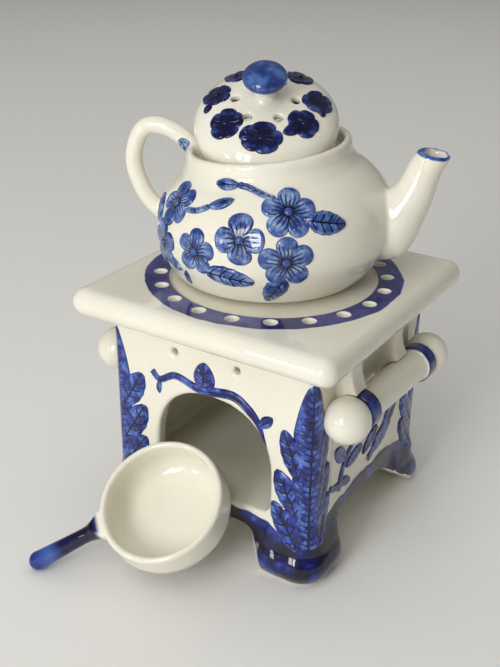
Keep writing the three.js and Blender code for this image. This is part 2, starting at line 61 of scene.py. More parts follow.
# %% Camera
CAMERA_PLACE = (183.1, -285.4, 248.1)
CAMERA_TURN, CAMERA_TIP, CAMERA_ROLL = 32.39, 25.91, 0.67
CAMERA_LENS = 53.72

turn, tip, roll = (math.radians(angle) for angle in (CAMERA_TURN, CAMERA_TIP, CAMERA_ROLL))
level = Vector((math.cos(turn), math.sin(turn), 0))
back = Vector((math.sin(turn) * math.cos(tip), -math.cos(turn) * math.cos(tip), math.sin(tip)))
upright = back.cross(level)
right = level * math.cos(roll) + upright * math.sin(roll)
upward = upright * math.cos(roll) - level * math.sin(roll)
camera_data = bpy.data.cameras.new("camera")
camera_data.lens = CAMERA_LENS
camera = bpy.data.objects.new("camera", camera_data)
facing = Matrix((right, upward, back)).transposed().to_4x4()
camera.matrix_world = Matrix.Translation(Vector(CAMERA_PLACE) * MM) @ facing
bpy.context.collection.objects.link(camera)
bpy.context.scene.camera = camera
print("camera at", [round(value, 3) for value in camera.location])

# %% [markdown]
# ## Sizes
# The pieces are drawn in millimetres, and only a finished mesh is in metres. The slab's box in the
# measured model tells where the middle of the stove is. Pieces that touch keep a small gap, a cutter
# stands a little proud of the face that it cuts, and one that has to reach past a whole piece is far
# larger than any of them.

# %% Sizes of the set
slab_low, slab_high = (Vector(corner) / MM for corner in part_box("top_slab"))
STOVE_MIDDLE = (slab_low + slab_high) / 2
STOVE_MIDDLE.z = 0
STOVE_HALF = 44.6
WALL = 5.8
WALL_TOP = 89.9
SHELF_HEIGHT = 25.8
SLAB_TOP = slab_high.z
SEAT_HEIGHT = SLAB_TOP - 1
GAP, PROUD, FAR = 0.3, 2, 90
print("stove's middle:", [round(value, 2) for value in STOVE_MIDDLE], "slab's top:", round(SLAB_TOP, 2))

# %% [markdown]
# ## Mesh helpers
# Round pieces are turned from a profile, as on a potter's wheel, and bent ones are skinned over rings.
# Clay pieces that are luted together become one skin: a voxel remesh joins them and a little smoothing
# rounds every corner, which is just what a coat of glaze does.

# %% Turned and skinned shapes
def turned(profile, sides=120):
    """Points and faces of [radius, height] points turned about Z; a radius of 0 is a pole."""
    points, faces, rings = [], [], []
    for radius, height in profile:
        count = 1 if radius < 1e-6 else sides
        rings.append(range(len(points), len(points) + count))
        for i in range(count):
            angle = 2 * math.pi * i / sides
            points.append(Vector((radius * math.cos(angle), radius * math.sin(angle), height)))
    for low, high in zip(rings, rings[1:]):
        for i in range(sides):
            below = [low[i % len(low)], low[(i + 1) % len(low)]]
            above = [high[(i + 1) % len(high)], high[i % len(high)]]
            face = list(dict.fromkeys(below + above))
            if len(face) > 2:
                faces.append(face)
    return points, faces


def skinned(rings):
    """Points and faces of a closed skin over rings that all have the same count of points."""
    count = len(rings[0])
    points = [point for ring in rings for point in ring]
    faces = [list(range(count))[::-1], list(range(len(points) - count, len(points)))]
    for start in range(0, len(points) - count, count):
        for i in range(count):
            after = (i + 1) % count
            faces.append([start + i, start + after, start + count + after, start + count + i])
    return points, faces


def drum(radius, low, high):
    """The profile of a plain cylinder."""
    return [(0, low), (radius, low), (radius, high), (0, high)]


def arc(middle, across, rise, start, end, steps):
    """Points of an ellipse's arc, as [radius, height]."""
    angles = [math.radians(start + (end - start) * i / steps) for i in range(steps + 1)]
    return [(middle[0] + across * math.cos(a), middle[1] + rise * math.sin(a)) for a in angles]


def make_object(name, shape, place=Matrix()):
    """A smooth mesh object from points in mm, moved by a matrix, with its faces outwards."""
    points, faces = shape
    mesh = bpy.data.meshes.new(name)
    mesh.from_pydata([(place @ point) * MM for point in points], [], faces)
    shell = bmesh.new()
    shell.from_mesh(mesh)
    bmesh.ops.remove_doubles(shell, verts=shell.verts, dist=1e-7)
    bmesh.ops.recalc_face_normals(shell, faces=shell.faces)
    shell.to_mesh(mesh)
    shell.free()
    mesh.shade_smooth()
    made = bpy.data.objects.new(name, mesh)
    bpy.context.collection.objects.link(made)
    return made

# %% Modifiers made permanent, cutting and fusing
def settle(piece):
    """Turns what the modifiers show into the piece's own mesh."""
    shown = piece.evaluated_get(bpy.context.evaluated_depsgraph_get())
    mesh = bpy.data.meshes.new_from_object(shown)
    piece.modifiers.clear()
    piece.data = mesh
    return piece


def cut(piece, *cutters):
    """Takes the cutters' shapes out of a piece, and removes the cutters."""
    for cutter in cutters:
        knife = piece.modifiers.new("cut", "BOOLEAN")
        knife.object = cutter
        knife.operation = "DIFFERENCE"
        knife.solver = "EXACT"
        settle(piece)
        bpy.data.objects.remove(cutter)
    return piece


def fuse(name, parts, voxel, smoothing):
    """One skin over all the parts; voxel is its finest detail in mm."""
    gathered = bmesh.new()
    for part in parts:
        gathered.from_mesh(part.data)
        bpy.data.objects.remove(part)
    mesh = bpy.data.meshes.new(name)
    gathered.to_mesh(mesh)
    gathered.free()
    piece = bpy.data.objects.new(name, mesh)
    bpy.context.collection.objects.link(piece)
    remesh = piece.modifiers.new("one skin", "REMESH")
    remesh.mode = "VOXEL"
    remesh.voxel_size = voxel * MM
    remesh.use_smooth_shade = True
    soften = piece.modifiers.new("glaze rounding", "SMOOTH")
    soften.factor = 0.5
    soften.iterations = smoothing
    settle(piece).data.shade_smooth()
    print(f"{name}: {2 * len(piece.data.polygons)} triangles")
    return piece

# %% [markdown]
# ## The teapot
# The pot is slip-cast: a squat belly, a short collar with a ledge for the lid, a spout and a handle.
# It leans a few degrees on its foot, as it came out of the kiln. The belly is turned, the spout is
# skinned over rings between its upper and its lower line, and the handle is swept along a curve.

# %% Where the pot stands
POT_LEAN, POT_LEAN_TOWARDS = 6.2, 212.4
POT_RIGHT, POT_BACK = -1.66, 7.3


def heading(angle):
    """The level direction at this angle, counted from the right round to the back."""
    return Vector((math.cos(math.radians(angle)), math.sin(math.radians(angle)), 0))


def tipped(angle, towards):
    """The turn that tips the upright axis by an angle towards a heading."""
    return Quaternion(Vector((0, 0, 1)).cross(heading(towards)), math.radians(angle)).to_matrix().to_4x4()


pot_base = STOVE_MIDDLE + Vector((POT_RIGHT, POT_BACK, SEAT_HEIGHT))
pot_place = Matrix.Translation(pot_base) @ tipped(POT_LEAN, POT_LEAN_TOWARDS)
print("pot's base:", [round(value, 2) for value in pot_base])

# %% The pot's belly, collar and inside
BELLY, BELLY_LOW, BELLY_HIGH, BELLY_DROP, BELLY_RISE = 45.1, 20.5, 23, 31.5, 29.4
BELLY_UNDER_BASE = 4.9
COLLAR_FOOT, COLLAR_TOP, COLLAR, COLLAR_WAIST, LIP = 42.8, 50.2, 31, 0.9, 3
LEDGE, POT_BORE, POT_WALL, POT_FLOOR = 45.8, 23.9, 4.2, 6
POT_FOOT, POT_FOOT_HEIGHT, POT_FOOT_LAP = 30.5, 1.6, 3


def degrees_of_sine(share):
    """Where an arc that starts level reaches this share of its rise."""
    return math.degrees(math.asin(share))


low_end = -degrees_of_sine((BELLY_LOW + BELLY_UNDER_BASE) / BELLY_DROP)
high_end = degrees_of_sine((COLLAR_FOOT - BELLY_HIGH) / BELLY_RISE)
outer = arc((0, BELLY_LOW), BELLY, BELLY_DROP, low_end, 0, 20)
outer += arc((0, BELLY_HIGH), BELLY, BELLY_RISE, 0, high_end, 20)
outer += [((outer[-1][0] + COLLAR) / 2 - COLLAR_WAIST, (COLLAR_FOOT + COLLAR_TOP) / 2)]
outer += arc((COLLAR - LIP / 2, COLLAR_TOP), LIP / 2, LIP / 2, 0, 180, 12)
inner = [(COLLAR - LIP, LEDGE), (POT_BORE, LEDGE)]
inside = BELLY - POT_WALL
under_ledge = math.degrees(math.acos(POT_BORE / inside))
inner += arc((0, BELLY_HIGH), inside, BELLY_RISE - POT_WALL, under_ledge, 0, 16)
drop = BELLY_DROP - POT_WALL
inner += arc((0, BELLY_LOW), inside, drop, 0, -degrees_of_sine((BELLY_LOW - POT_FLOOR) / drop), 16)
belly = make_object("belly", turned([(0, outer[0][1])] + outer + inner + [(0, POT_FLOOR)], 160), pot_place)

below = Matrix.Translation(pot_base + Vector((0, 0, POT_FOOT_HEIGHT)))
cut(belly, make_object("under the belly", turned(drum(FAR, -FAR, 0), 48), below))
foot_profile = drum(POT_FOOT, GAP, POT_FOOT_HEIGHT + POT_FOOT_LAP)
foot = make_object("pot's foot", turned(foot_profile, 120), Matrix.Translation(pot_base))
print("belly:", len(belly.data.polygons), "faces")

# %% The spout and its bore
SPOUT_HEADING = 18
SPOUT_UPPER = [(-11, 26), (0.3, 33.5), (3.6, 37.3), (6.7, 42.8), (10.3, 47.2)]
SPOUT_LOWER = [(-15, 5), (3.2, 6.7), (13.3, 24.1), (17.7, 36.5), (21.8, 44.2)]
SPOUT_HALF_WIDTHS = [10, 10, 8, 6.4, 5.95]
SPOUT_BORE = 4.3


def along_curve(points, steps):
    """Evenly spaced steps on a Catmull-Rom curve through points of any dimension."""
    points = [Vector(point) for point in points]
    ends = [2 * points[0] - points[1]] + points + [2 * points[-1] - points[-2]]
    line = []
    for i in range(steps + 1):
        place = min((len(points) - 1) * i / steps, len(points) - 1 - 1e-9)
        k, t = int(place), place - int(place)
        a, b, c, d = ends[k:k + 4]
        square, cube = 2 * a - 5 * b + 4 * c - d, 3 * b - a - 3 * c + d
        line.append(0.5 * (2 * b + (c - a) * t + square * t**2 + cube * t**3))
    return line


def spout_rings(bore, steps=36, around=40):
    """Rings of the spout's outside, or of its bore, which runs on past the mouth."""
    rings = []
    upper, lower = along_curve(SPOUT_UPPER, steps), along_curve(SPOUT_LOWER, steps)
    widths = along_curve([(half, 0) for half in SPOUT_HALF_WIDTHS], steps)
    for top, bottom, width in zip(upper, lower, widths):
        middle, half = (top + bottom) / 2, SPOUT_BORE if bore else width.x
        rise = (top - middle).normalized() * half if bore else top - middle
        ring = []
        for i in range(around):
            angle = 2 * math.pi * i / around
            point = middle + rise * math.cos(angle)
            ring.append(Vector((BELLY + point.x, half * math.sin(angle), point.y)))
        rings.append(ring)
    if bore:
        rings.append([last + 3 * (last - before) for last, before in zip(rings[-1], rings[-2])])
    return rings


spout_place = pot_place @ Matrix.Rotation(math.radians(SPOUT_HEADING), 4, "Z")
outside_spout = cut(
    make_object("spout", skinned(spout_rings(False)), spout_place),
    make_object("bore", skinned(spout_rings(True)), spout_place),
)
cut(belly, make_object("bore", skinned(spout_rings(True)), spout_place))
tip_ring = spout_rings(False)[-1]
spout_tip = spout_place @ (sum(tip_ring, Vector()) / len(tip_ring))
across_tip = Vector(SPOUT_UPPER[-1]) - Vector(SPOUT_LOWER[-1])
spout_axis = (spout_place.to_3x3() @ Vector((across_tip.y, 0, -across_tip.x))).normalized()
print("spout's tip:", [round(value, 1) for value in spout_tip])

# %% The handle, and the whole pot as one skin
HANDLE_THICKNESS = 6.8
FROM_COLLAR = [(-4.5, 45.5), (1.6, 53.8)]
TO_BELLY = [(-3.3, 59), (4.4, 56.9), (9.1, 45.8), (6.8, 33.4), (1.1, 25.2), (-5.6, 20.5)]


def swept(line, radius, around=28):
    """Rings of a round rod along a line that lies in the XZ plane."""
    rings = []
    for before, here, after in zip([line[0]] + line, line, line[1:] + [line[-1]]):
        ahead = (after - before).normalized()
        side = Vector((0, 1, 0))
        across = ahead.cross(side)
        turns = [2 * math.pi * i / around for i in range(around)]
        rings.append([here + radius * (side * math.cos(t) + across * math.sin(t)) for t in turns])
    return rings


handle_line = [(-COLLAR - out, 0, up) for out, up in FROM_COLLAR]
handle_line += [(-BELLY - out, 0, up) for out, up in TO_BELLY]
strap_rings = swept(along_curve(handle_line, 70), HANDLE_THICKNESS / 2)
strap = make_object("strap", skinned(strap_rings), spout_place)
pot = fuse("glazed_pot", [belly, foot, outside_spout, strap], voxel=0.76, smoothing=5)

# %% [markdown]
# ## The lid
# The lid's lower edge is part of a ball, so it sits in the mouth at any tilt, and here it is tipped
# well forward. Six holes let the scent out. A Geometry Nodes tree sets a shape out on a circle: the
# same tree makes the hole cutters of the lid and the pit cutters of the slab.

# %% One function that adds a node
def add_node(tree, kind, inputs=None, **settings):
    """Adds a node, sets its settings, and gives each input a value, an output, or a node's first output."""
    node = tree.nodes.new(kind)
    for name, value in settings.items():
        setattr(node, name, value)
    for name, value in (inputs or {}).items():
        if isinstance(value, bpy.types.Node):
            value = value.outputs[0]
        if isinstance(value, bpy.types.NodeSocket):
            tree.links.new(value, node.inputs[name])
        else:
            node.inputs[name].default_value = value
    return node


def new_geometry_tree(name, **inputs):
    """A tree with a geometry input and named inputs, each given as (kind of socket, value)."""
    tree = bpy.data.node_groups.new(name, "GeometryNodeTree")
    tree.interface.new_socket("Geometry", in_out="OUTPUT", socket_type="NodeSocketGeometry")
    tree.interface.new_socket("Geometry", in_out="INPUT", socket_type="NodeSocketGeometry")
    for label, (kind, value) in inputs.items():
        socket = tree.interface.new_socket(label, in_out="INPUT", socket_type=kind)
        if value is not None:
            socket.default_value = value
    return tree, add_node(tree, "NodeGroupInput"), add_node(tree, "NodeGroupOutput")


def run_tree(piece, tree, **values):
    """Runs a tree on a piece with these input values and keeps the result as its mesh."""
    grower = piece.modifiers.new(tree.name, "NODES")
    grower.node_group = tree
    for socket in tree.interface.items_tree:
        if socket.in_out == "INPUT" and socket.name in values:
            grower[socket.identifier] = values[socket.name]
    return settle(piece)

# %% A ring of equal shapes, in Geometry Nodes
ring_tree, ring_in, ring_out = new_geometry_tree(
    "ring of shapes",
    Count=("NodeSocketInt", 6),
    Radius=("NodeSocketFloat", 0.01),
    Start=("NodeSocketFloat", 0.0),
    Finish=("NodeSocketMaterial", None),
)
circle = add_node(
    ring_tree, "GeometryNodeMeshCircle",
    {"Vertices": ring_in.outputs["Count"], "Radius": ring_in.outputs["Radius"]},
)
turn_by = add_node(ring_tree, "ShaderNodeCombineXYZ", {"Z": ring_in.outputs["Start"]})
turned_circle = add_node(ring_tree, "GeometryNodeTransform", {"Geometry": circle, "Rotation": turn_by})
placed = add_node(
    ring_tree, "GeometryNodeInstanceOnPoints",
    {"Points": turned_circle, "Instance": ring_in.outputs["Geometry"]},
)
real = add_node(ring_tree, "GeometryNodeRealizeInstances", {"Geometry": placed})
finished = add_node(
    ring_tree, "GeometryNodeSetMaterial", {"Geometry": real, "Material": ring_in.outputs["Finish"]}
)
ring_tree.links.new(finished.outputs["Geometry"], ring_out.inputs["Geometry"])


def ring_of_drills(name, drill_radius, low, high, count, circle_radius, start, place, flare=0.0):
    """Round cutters set out on a circle; flare widens their mouths, where they leave the surface."""
    mouth = high - PROUD
    profile = [(0, low), (drill_radius, low), (drill_radius, mouth - flare), (drill_radius + flare, mouth)]
    profile += [(drill_radius + flare, high), (0, high)]
    drills = make_object(name, turned(profile, 24))
    run_tree(drills, ring_tree, Count=count, Radius=circle_radius * MM, Start=math.radians(start))
    drills.data.transform(Matrix.Scale(MM, 4) @ place @ Matrix.Scale(1 / MM, 4))
    return drills

# %% The lid's dome
LID, LID_RISE, LID_DROP, LID_WALL = 26.8, 11.9, 13.5, 3
LID_TIP, LID_TIP_TOWARDS = 27.5, -63
NECK, NECK_FLARE, NECK_TOP, NECK_LAP = 3.4, 3.8, 16.6, 0.6
HOLES, HOLE, HOLE_CIRCLE, HOLES_TURN, DRILL_LENGTH = 6, 1.7, 10.9, LID_TIP_TOWARDS + 30, 20

seat_rise = math.sqrt((LID + GAP) ** 2 - POT_BORE**2)
lid_middle = pot_place @ Vector((0, 0, LEDGE + seat_rise))
lid_place = Matrix.Translation(lid_middle) @ tipped(LID_TIP, LID_TIP_TOWARDS)

flare_angle = math.degrees(math.acos((NECK + NECK_FLARE) / LID))
dome = arc((0, 0), LID, LID, -degrees_of_sine(LID_DROP / LID), 0, 14)
dome += arc((0, 0), LID, LID_RISE, 0, flare_angle, 26)[1:]
rim = dome[-1]
dome += [(rim[0] - 2.4, rim[1] + 0.9), (NECK + 0.35, rim[1] + 2.6)]
dome += [(NECK, NECK_TOP + NECK_LAP), (0, NECK_TOP + NECK_LAP)]
inside = LID - LID_WALL
hollow = arc((0, 0), inside, LID_RISE - LID_WALL, 90, 0, 20)
hollow += arc((0, 0), inside, inside, 0, -degrees_of_sine(LID_DROP / inside), 12)[1:]
cap = make_object("cap", turned(dome + hollow + [dome[0]], 160), lid_place)
cut(cap, ring_of_drills("holes", HOLE, 0, DRILL_LENGTH, HOLES, HOLE_CIRCLE, HOLES_TURN, lid_place))
lid = fuse("glazed_lid", [cap], voxel=0.5, smoothing=6)

# %% The lid's knob
KNOB, KNOB_HALF_HEIGHT, KNOB_SINK = 8, 4.1, 0.2
knob_middle = (0, NECK_TOP + KNOB_HALF_HEIGHT - KNOB_SINK)
knob_profile = arc(knob_middle, KNOB, KNOB_HALF_HEIGHT, -90, 90, 40)
knob = make_object("glazed_knob", turned(knob_profile, 96), lid_place)
print("knob's middle:", [round(value, 1) for value in lid_place @ Vector((0, 0, knob_middle[1]))])

# %% [markdown]
# ## The stove
# The walls' cast comes from the measured model, with its arched door, vents and bracket feet. Shelf and
# brackets are luted to it, so all of them become one skin. The feet bulge a little, and since no
# modifier swells a shape by its height, a loop over their points does it. The rails and the slab stay
# pieces of their own: a rail is one turned profile, and the slab is a block with a wide bevel.

# %% The stove's body
def copy_of_node(node):
    """A merged copy of a node of the measured model."""
    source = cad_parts[node]
    shell = bmesh.new()
    shell.from_mesh(source.data)
    bmesh.ops.transform(shell, matrix=source.matrix_world, verts=shell.verts)
    bmesh.ops.remove_doubles(shell, verts=shell.verts, dist=1e-6)
    mesh = bpy.data.meshes.new(node)
    shell.to_mesh(mesh)
    shell.free()
    made = bpy.data.objects.new(node + " copy", mesh)
    bpy.context.collection.objects.link(made)
    return made


def block(name, low, high):
    """A box between two corners, in mm from the foot of the stove's middle."""
    (x_low, y_low, z_low), (x_high, y_high, z_high) = low, high
    outline = ((x_low, y_low), (x_high, y_low), (x_high, y_high), (x_low, y_high))
    rings = [[Vector((x, y, z)) for x, y in outline] for z in (z_low, z_high)]
    return make_object(name, skinned(rings), Matrix.Translation(STOVE_MIDDLE))


LIE_DOWN = Matrix.Rotation(math.radians(90), 4, "X")
SHELF_THICKNESS, SHELF_LAP = 4.8, 1
GUSSET_PLACES, GUSSET_HALF_WIDTH, GUSSET_LOW, GUSSET_IN, GUSSET_OUT = (-24, 9.5), 4.5, 72, 1.5, 1
VENTS, VENT, VENT_HEIGHT, VENT_FLARE, VENT_FLARE_DEPTH = (-15.6, 11.8), 3.2, 81.3, 0.7, 0.9

edge = STOVE_HALF - WALL + SHELF_LAP
shelf = block("shelf", (-edge, -edge, SHELF_HEIGHT - SHELF_THICKNESS), (edge, edge, SHELF_HEIGHT))
gussets = []
for side in (-1, 1):
    low, high = sorted((side * (STOVE_HALF - GUSSET_IN), side * (STOVE_HALF + GUSSET_OUT)))
    for place in GUSSET_PLACES:
        front, rear = place - GUSSET_HALF_WIDTH, place + GUSSET_HALF_WIDTH
        gussets.append(block("gusset root", (low, front, GUSSET_LOW), (high, rear, WALL_TOP)))
for corner in ("left_front", "left_back", "right_front", "right_back"):
    gussets.append(copy_of_node("rail_bracket_" + corner))
walls = copy_of_node("stove_walls")
for along in VENTS:
    wide = VENT / 2 + VENT_FLARE
    mouth = [(0, -VENT_FLARE_DEPTH), (VENT / 2, -VENT_FLARE_DEPTH), (wide, 0), (wide, PROUD), (0, PROUD)]
    from_front = Matrix.Translation(STOVE_MIDDLE + Vector((along, -STOVE_HALF, VENT_HEIGHT)))
    cut(walls, make_object("vent's mouth", turned(mouth, 32), from_front @ LIE_DOWN))
stove = fuse("glazed_stove", [walls, shelf] + gussets, voxel=0.85, smoothing=4)

# %% The bracket feet swell
FOOT_HEIGHT, FOOT_SWELL, FOOT_BLEND = 13, 1.6, 4


def shape_feet(piece):
    """Rounds the feet's lower corners and swells them outwards, as soft clay bulges under a weight."""
    low = piece.vertex_groups.new(name="feet")
    for vertex in piece.data.vertices:
        height = vertex.co.z / MM
        if height < FOOT_HEIGHT:
            low.add([vertex.index], min(1, (FOOT_HEIGHT - height) / FOOT_BLEND), "REPLACE")
    rounding = piece.modifiers.new("rounded feet", "SMOOTH")
    rounding.factor, rounding.iterations, rounding.vertex_group = 0.5, 24, low.name
    settle(piece)
    sole = min(vertex.co.z for vertex in piece.data.vertices) / MM
    print("smoothing lifted the sole by", round(sole, 2), "mm; it is set back")
    for vertex in piece.data.vertices:
        place = vertex.co / MM - STOVE_MIDDLE
        share = place.z / FOOT_HEIGHT
        if share < 1:
            swell = 1 + FOOT_SWELL / STOVE_HALF * math.sin(math.pi * max(share, 0))
            place = Vector((place.x * swell, place.y * swell, place.z - sole * (1 - share)))
            vertex.co = (place + STOVE_MIDDLE) * MM


shape_feet(stove)

# %% The side rails
RAIL, BALL, BALL_SPAN = 6.3, 8.65, 63.4
BAND, BAND_WIDTH, BAND_FROM_BALL, BAND_ROUND = 7.45, 6.2, 6.2, 0.9
RAIL_OUT, RAIL_HEIGHT, RAIL_PLACE, RAIL_TOE_IN = 7.7, 68.6, -1.2, 2

ball_place = BALL_SPAN / 2
band_outer, band_inner = ball_place - BAND_FROM_BALL, ball_place - BAND_FROM_BALL - BAND_WIDTH
half_rail = arc((0, ball_place), BALL, BALL, 90, -degrees_of_sine(BAND_FROM_BALL / BALL), 40)
half_rail += arc((BAND - BAND_ROUND, band_outer - BAND_ROUND), BAND_ROUND, BAND_ROUND, 90, 0, 6)
half_rail += arc((BAND - BAND_ROUND, band_inner + BAND_ROUND), BAND_ROUND, BAND_ROUND, 0, -80, 6)
half_rail += [(RAIL + 0.12, band_inner - 0.3), (RAIL, band_inner - 0.9)]
profile = half_rail + [(radius, -place) for radius, place in reversed(half_rail)]
rails = []
for side, name in ((-1, "left"), (1, "right")):
    middle = STOVE_MIDDLE + Vector((side * (STOVE_HALF + RAIL_OUT), RAIL_PLACE, RAIL_HEIGHT))
    toe_in = Matrix.Rotation(math.radians(-side * RAIL_TOE_IN), 4, "Z")
    lying = Matrix.Translation(middle) @ toe_in @ LIE_DOWN
    rails.append(make_object("glazed_rail_" + name, turned(profile, 72), lying))
print("rails:", [len(rail.data.polygons) for rail in rails])

# %% The top slab
PITS, PIT, PIT_DEPTH, PIT_CIRCLE, PIT_START = 20, 2.1, 3, 43.7, 12
PIT_FLARE = 0.5
SLAB_HALF, SLAB_THICKNESS, SLAB_ROUND = 56, 10.8, 5.38
SEAT, SEAT_SLOPE, HEAT_HOLE = 39.8, 0.6, 22

slab_bottom = SLAB_TOP - SLAB_THICKNESS
slab = block("slab", (-SLAB_HALF, -SLAB_HALF, slab_bottom), (SLAB_HALF, SLAB_HALF, SLAB_TOP))
rounding = slab.modifiers.new("rounded edges", "BEVEL")
rounding.width = SLAB_ROUND * MM
rounding.segments = 12
settle(slab)
on_slab, over = Matrix.Translation(STOVE_MIDDLE), SLAB_TOP + PROUD
seat_profile = [(0, SEAT_HEIGHT), (SEAT, SEAT_HEIGHT), (SEAT + SEAT_SLOPE, over), (0, over)]
cut(
    slab,
    make_object("seat", turned(seat_profile, 120), on_slab),
    make_object("heat hole", turned(drum(HEAT_HOLE, slab_bottom - PROUD, over), 96), on_slab),
    ring_of_drills("pits", PIT, SLAB_TOP - PIT_DEPTH, over, PITS, PIT_CIRCLE, PIT_START, on_slab, PIT_FLARE),
)
slab = fuse("glazed_slab", [slab], voxel=0.6, smoothing=3)

# %% [markdown]
# ## The pan
# The pan leans with its flat base on the door's sill and the end of its handle on the table. Its bowl
# and its spindle of a handle are both turned, and the handle's wide root melts into the bowl.

# %% The pan's bowl and handle
PAN_TIP, PAN_TURN, PAN_REACH, PAN_X = 34.9, 2.8, 14.6, -7
PAN_BASE, PAN_BELLY, PAN_BELLY_HEIGHT = 15.5, 24.5, 10
PAN_DEPTH, PAN_LIP, PAN_WALL, PAN_FLOOR = 18.6, 24.1, 2.5, 3
PAN_HEADING, PAN_HANDLE_REACH, PAN_ROOT_DROP = 220.6, 54, 3.4
PAN_ROOT, PAN_FLARE, PAN_GRIP, PAN_END, PAN_FLARE_LENGTH = 5.8, 4.2, 3.1, 3.8, 9

pan_turn = Matrix.Rotation(math.radians(PAN_TURN), 4, "Z") @ Matrix.Rotation(math.radians(PAN_TIP), 4, "X")
pan_back, pan_up = pan_turn @ Vector((0, 1, 0)), pan_turn @ Vector((0, 0, 1))
pan_base = STOVE_MIDDLE + Vector((PAN_X, -STOVE_HALF, SHELF_HEIGHT)) - PAN_REACH * pan_back + GAP * pan_up
pan_base.x = PAN_X
pan_place = Matrix.Translation(pan_base) @ pan_turn

lip_round = PAN_WALL / 2
lip_middle = (PAN_LIP - lip_round, PAN_DEPTH - lip_round)
belly_middle, bulge = (PAN_BASE, PAN_BELLY_HEIGHT), PAN_BELLY - PAN_BASE
bowl_profile = [(0, 0)] + arc(belly_middle, bulge, PAN_BELLY_HEIGHT, -90, 0, 16)
bowl_profile += arc(lip_middle, lip_round, lip_round, 0, 180, 14)
bowl_profile += arc(belly_middle, bulge - PAN_WALL, PAN_BELLY_HEIGHT - PAN_FLOOR, 0, -90, 16)
pan_bowl = make_object("bowl", turned(bowl_profile + [(0, PAN_FLOOR)], 144), pan_place)

outward = heading(PAN_HEADING)
grip_root = outward * (PAN_BELLY - PAN_WALL + 0.6) + Vector((0, 0, PAN_DEPTH - PAN_ROOT_DROP))
grip_end = outward * PAN_HANDLE_REACH
grip_end.z = (PAN_END - (pan_place @ grip_end).z) / math.cos(math.radians(PAN_TIP))
grip_line = grip_end - grip_root
grip_length = grip_line.length
taper = [(PAN_ROOT, 1.4), (PAN_FLARE, 4.5), (PAN_GRIP, PAN_FLARE_LENGTH), (PAN_GRIP, grip_length / 2)]
spindle = [(0, 0), (PAN_ROOT, 0)] + along_curve(taper, 24)
spindle += arc((0, grip_length), PAN_END, PAN_END, -15, 90, 16)
leaning = Vector((0, 0, 1)).rotation_difference(grip_line).to_matrix().to_4x4()
grip = make_object("grip", turned(spindle, 64), pan_place @ (Matrix.Translation(grip_root) @ leaning))
room, rim_height = PAN_BELLY - 1.6, PAN_DEPTH - 0.7
room_and_above = [(0, -9), (room, -9), (room, rim_height), (45, rim_height), (45, 40), (0, 40)]
cut(grip, make_object("room of the bowl", turned(room_and_above, 96), pan_place))
pan = fuse("glazed_pan", [pan_bowl, grip], voxel=0.5, smoothing=7)
print("pan handle's end:", [round(value, 1) for value in pan_place @ grip_end])

# %% [markdown]
# ## Moulded flowers and leaves
# The decoration stands about a millimetre proud of the clay. Each leaf, bud and twig is a narrow strip
# that follows a line on the surface, swells in the middle and dips at its edges. A flower is one petal
# repeated by Geometry Nodes round a small dome, then pressed down on to the surface it belongs to.

# %% Surfaces to lay the decoration on
LOOK_LENGTH = 200  # mm, past the far side of every piece


class Surface:
    """Finds points of a finished piece by looking along a line from outside."""

    def __init__(self, piece):
        shell = bmesh.new()
        shell.from_mesh(piece.data)
        self.tree = BVHTree.FromBMesh(shell)
        shell.free()

    def meet(self, start, inward):
        """The surface's point and outward direction where a line from start first meets it."""
        inward = inward.normalized()
        point, normal, _, _ = self.tree.ray_cast(start * MM, inward, LOOK_LENGTH * MM)
        if point is None:
            point, normal, _, _ = self.tree.find_nearest(start * MM)
        return point / MM, normal if normal.dot(inward) < 0 else -inward


pot_skin, lid_skin, stove_skin = Surface(pot), Surface(lid), Surface(stove)


def on_pot(angle, height):
    """Places are [angle round the pot, height up the pot]."""
    start = pot_place @ (heading(angle) * 80 + Vector((0, 0, height)))
    return pot_skin.meet(start, pot_place @ Vector((0, 0, height)) - start)


def on_handle_root(across, height):
    """Places are [across the pot, height], looked at from the side that faces the camera."""
    spout_way = Matrix.Rotation(math.radians(SPOUT_HEADING), 4, "Z")
    start = pot_place @ spout_way @ Vector((across, -60, height))
    return pot_skin.meet(start, pot_place @ spout_way @ Vector((across, 0, height)) - start)


def on_lid(angle, radius):
    """Places are [angle round the lid, distance from its axis]."""
    start = lid_place @ (heading(angle) * radius * 2 + Vector((0, 0, 40)))
    return lid_skin.meet(start, lid_place @ (heading(angle) * radius + Vector((0, 0, 8))) - start)


def on_stove(face):
    """Faces 0 to 3 are front, right, back and left; places on them are [along, height]."""
    turn = Matrix.Rotation(math.radians(90 * face), 4, "Z")

    def place(along, height):
        start = STOVE_MIDDLE + turn @ Vector((along, -80, height))
        return stove_skin.meet(start, turn @ Vector((0, 1, 0)))
    return place


def on_corner(face):
    """Places on the edge between a face and the next are [across the edge, height]."""
    outward, across_edge = heading(90 * face - 45), heading(90 * face + 45)

    def place(across, height):
        start = STOVE_MIDDLE + outward * 90 + across_edge * across + Vector((0, 0, height))
        return stove_skin.meet(start, -outward)[0], outward
    return place


print("a point of the belly:", [round(value, 1) for value in on_pot(-90, 25)[0]])

# %% Strips for leaves, buds and twigs
LOOK_FROM = 12  # mm above the surface, from where a relief's points look down to find it
SINK = 0.12  # mm that a strip's edge lies under the surface
VEINS_IN_V = 6  # pairs of veins that the leaf's glaze draws while V goes from 0 to 1


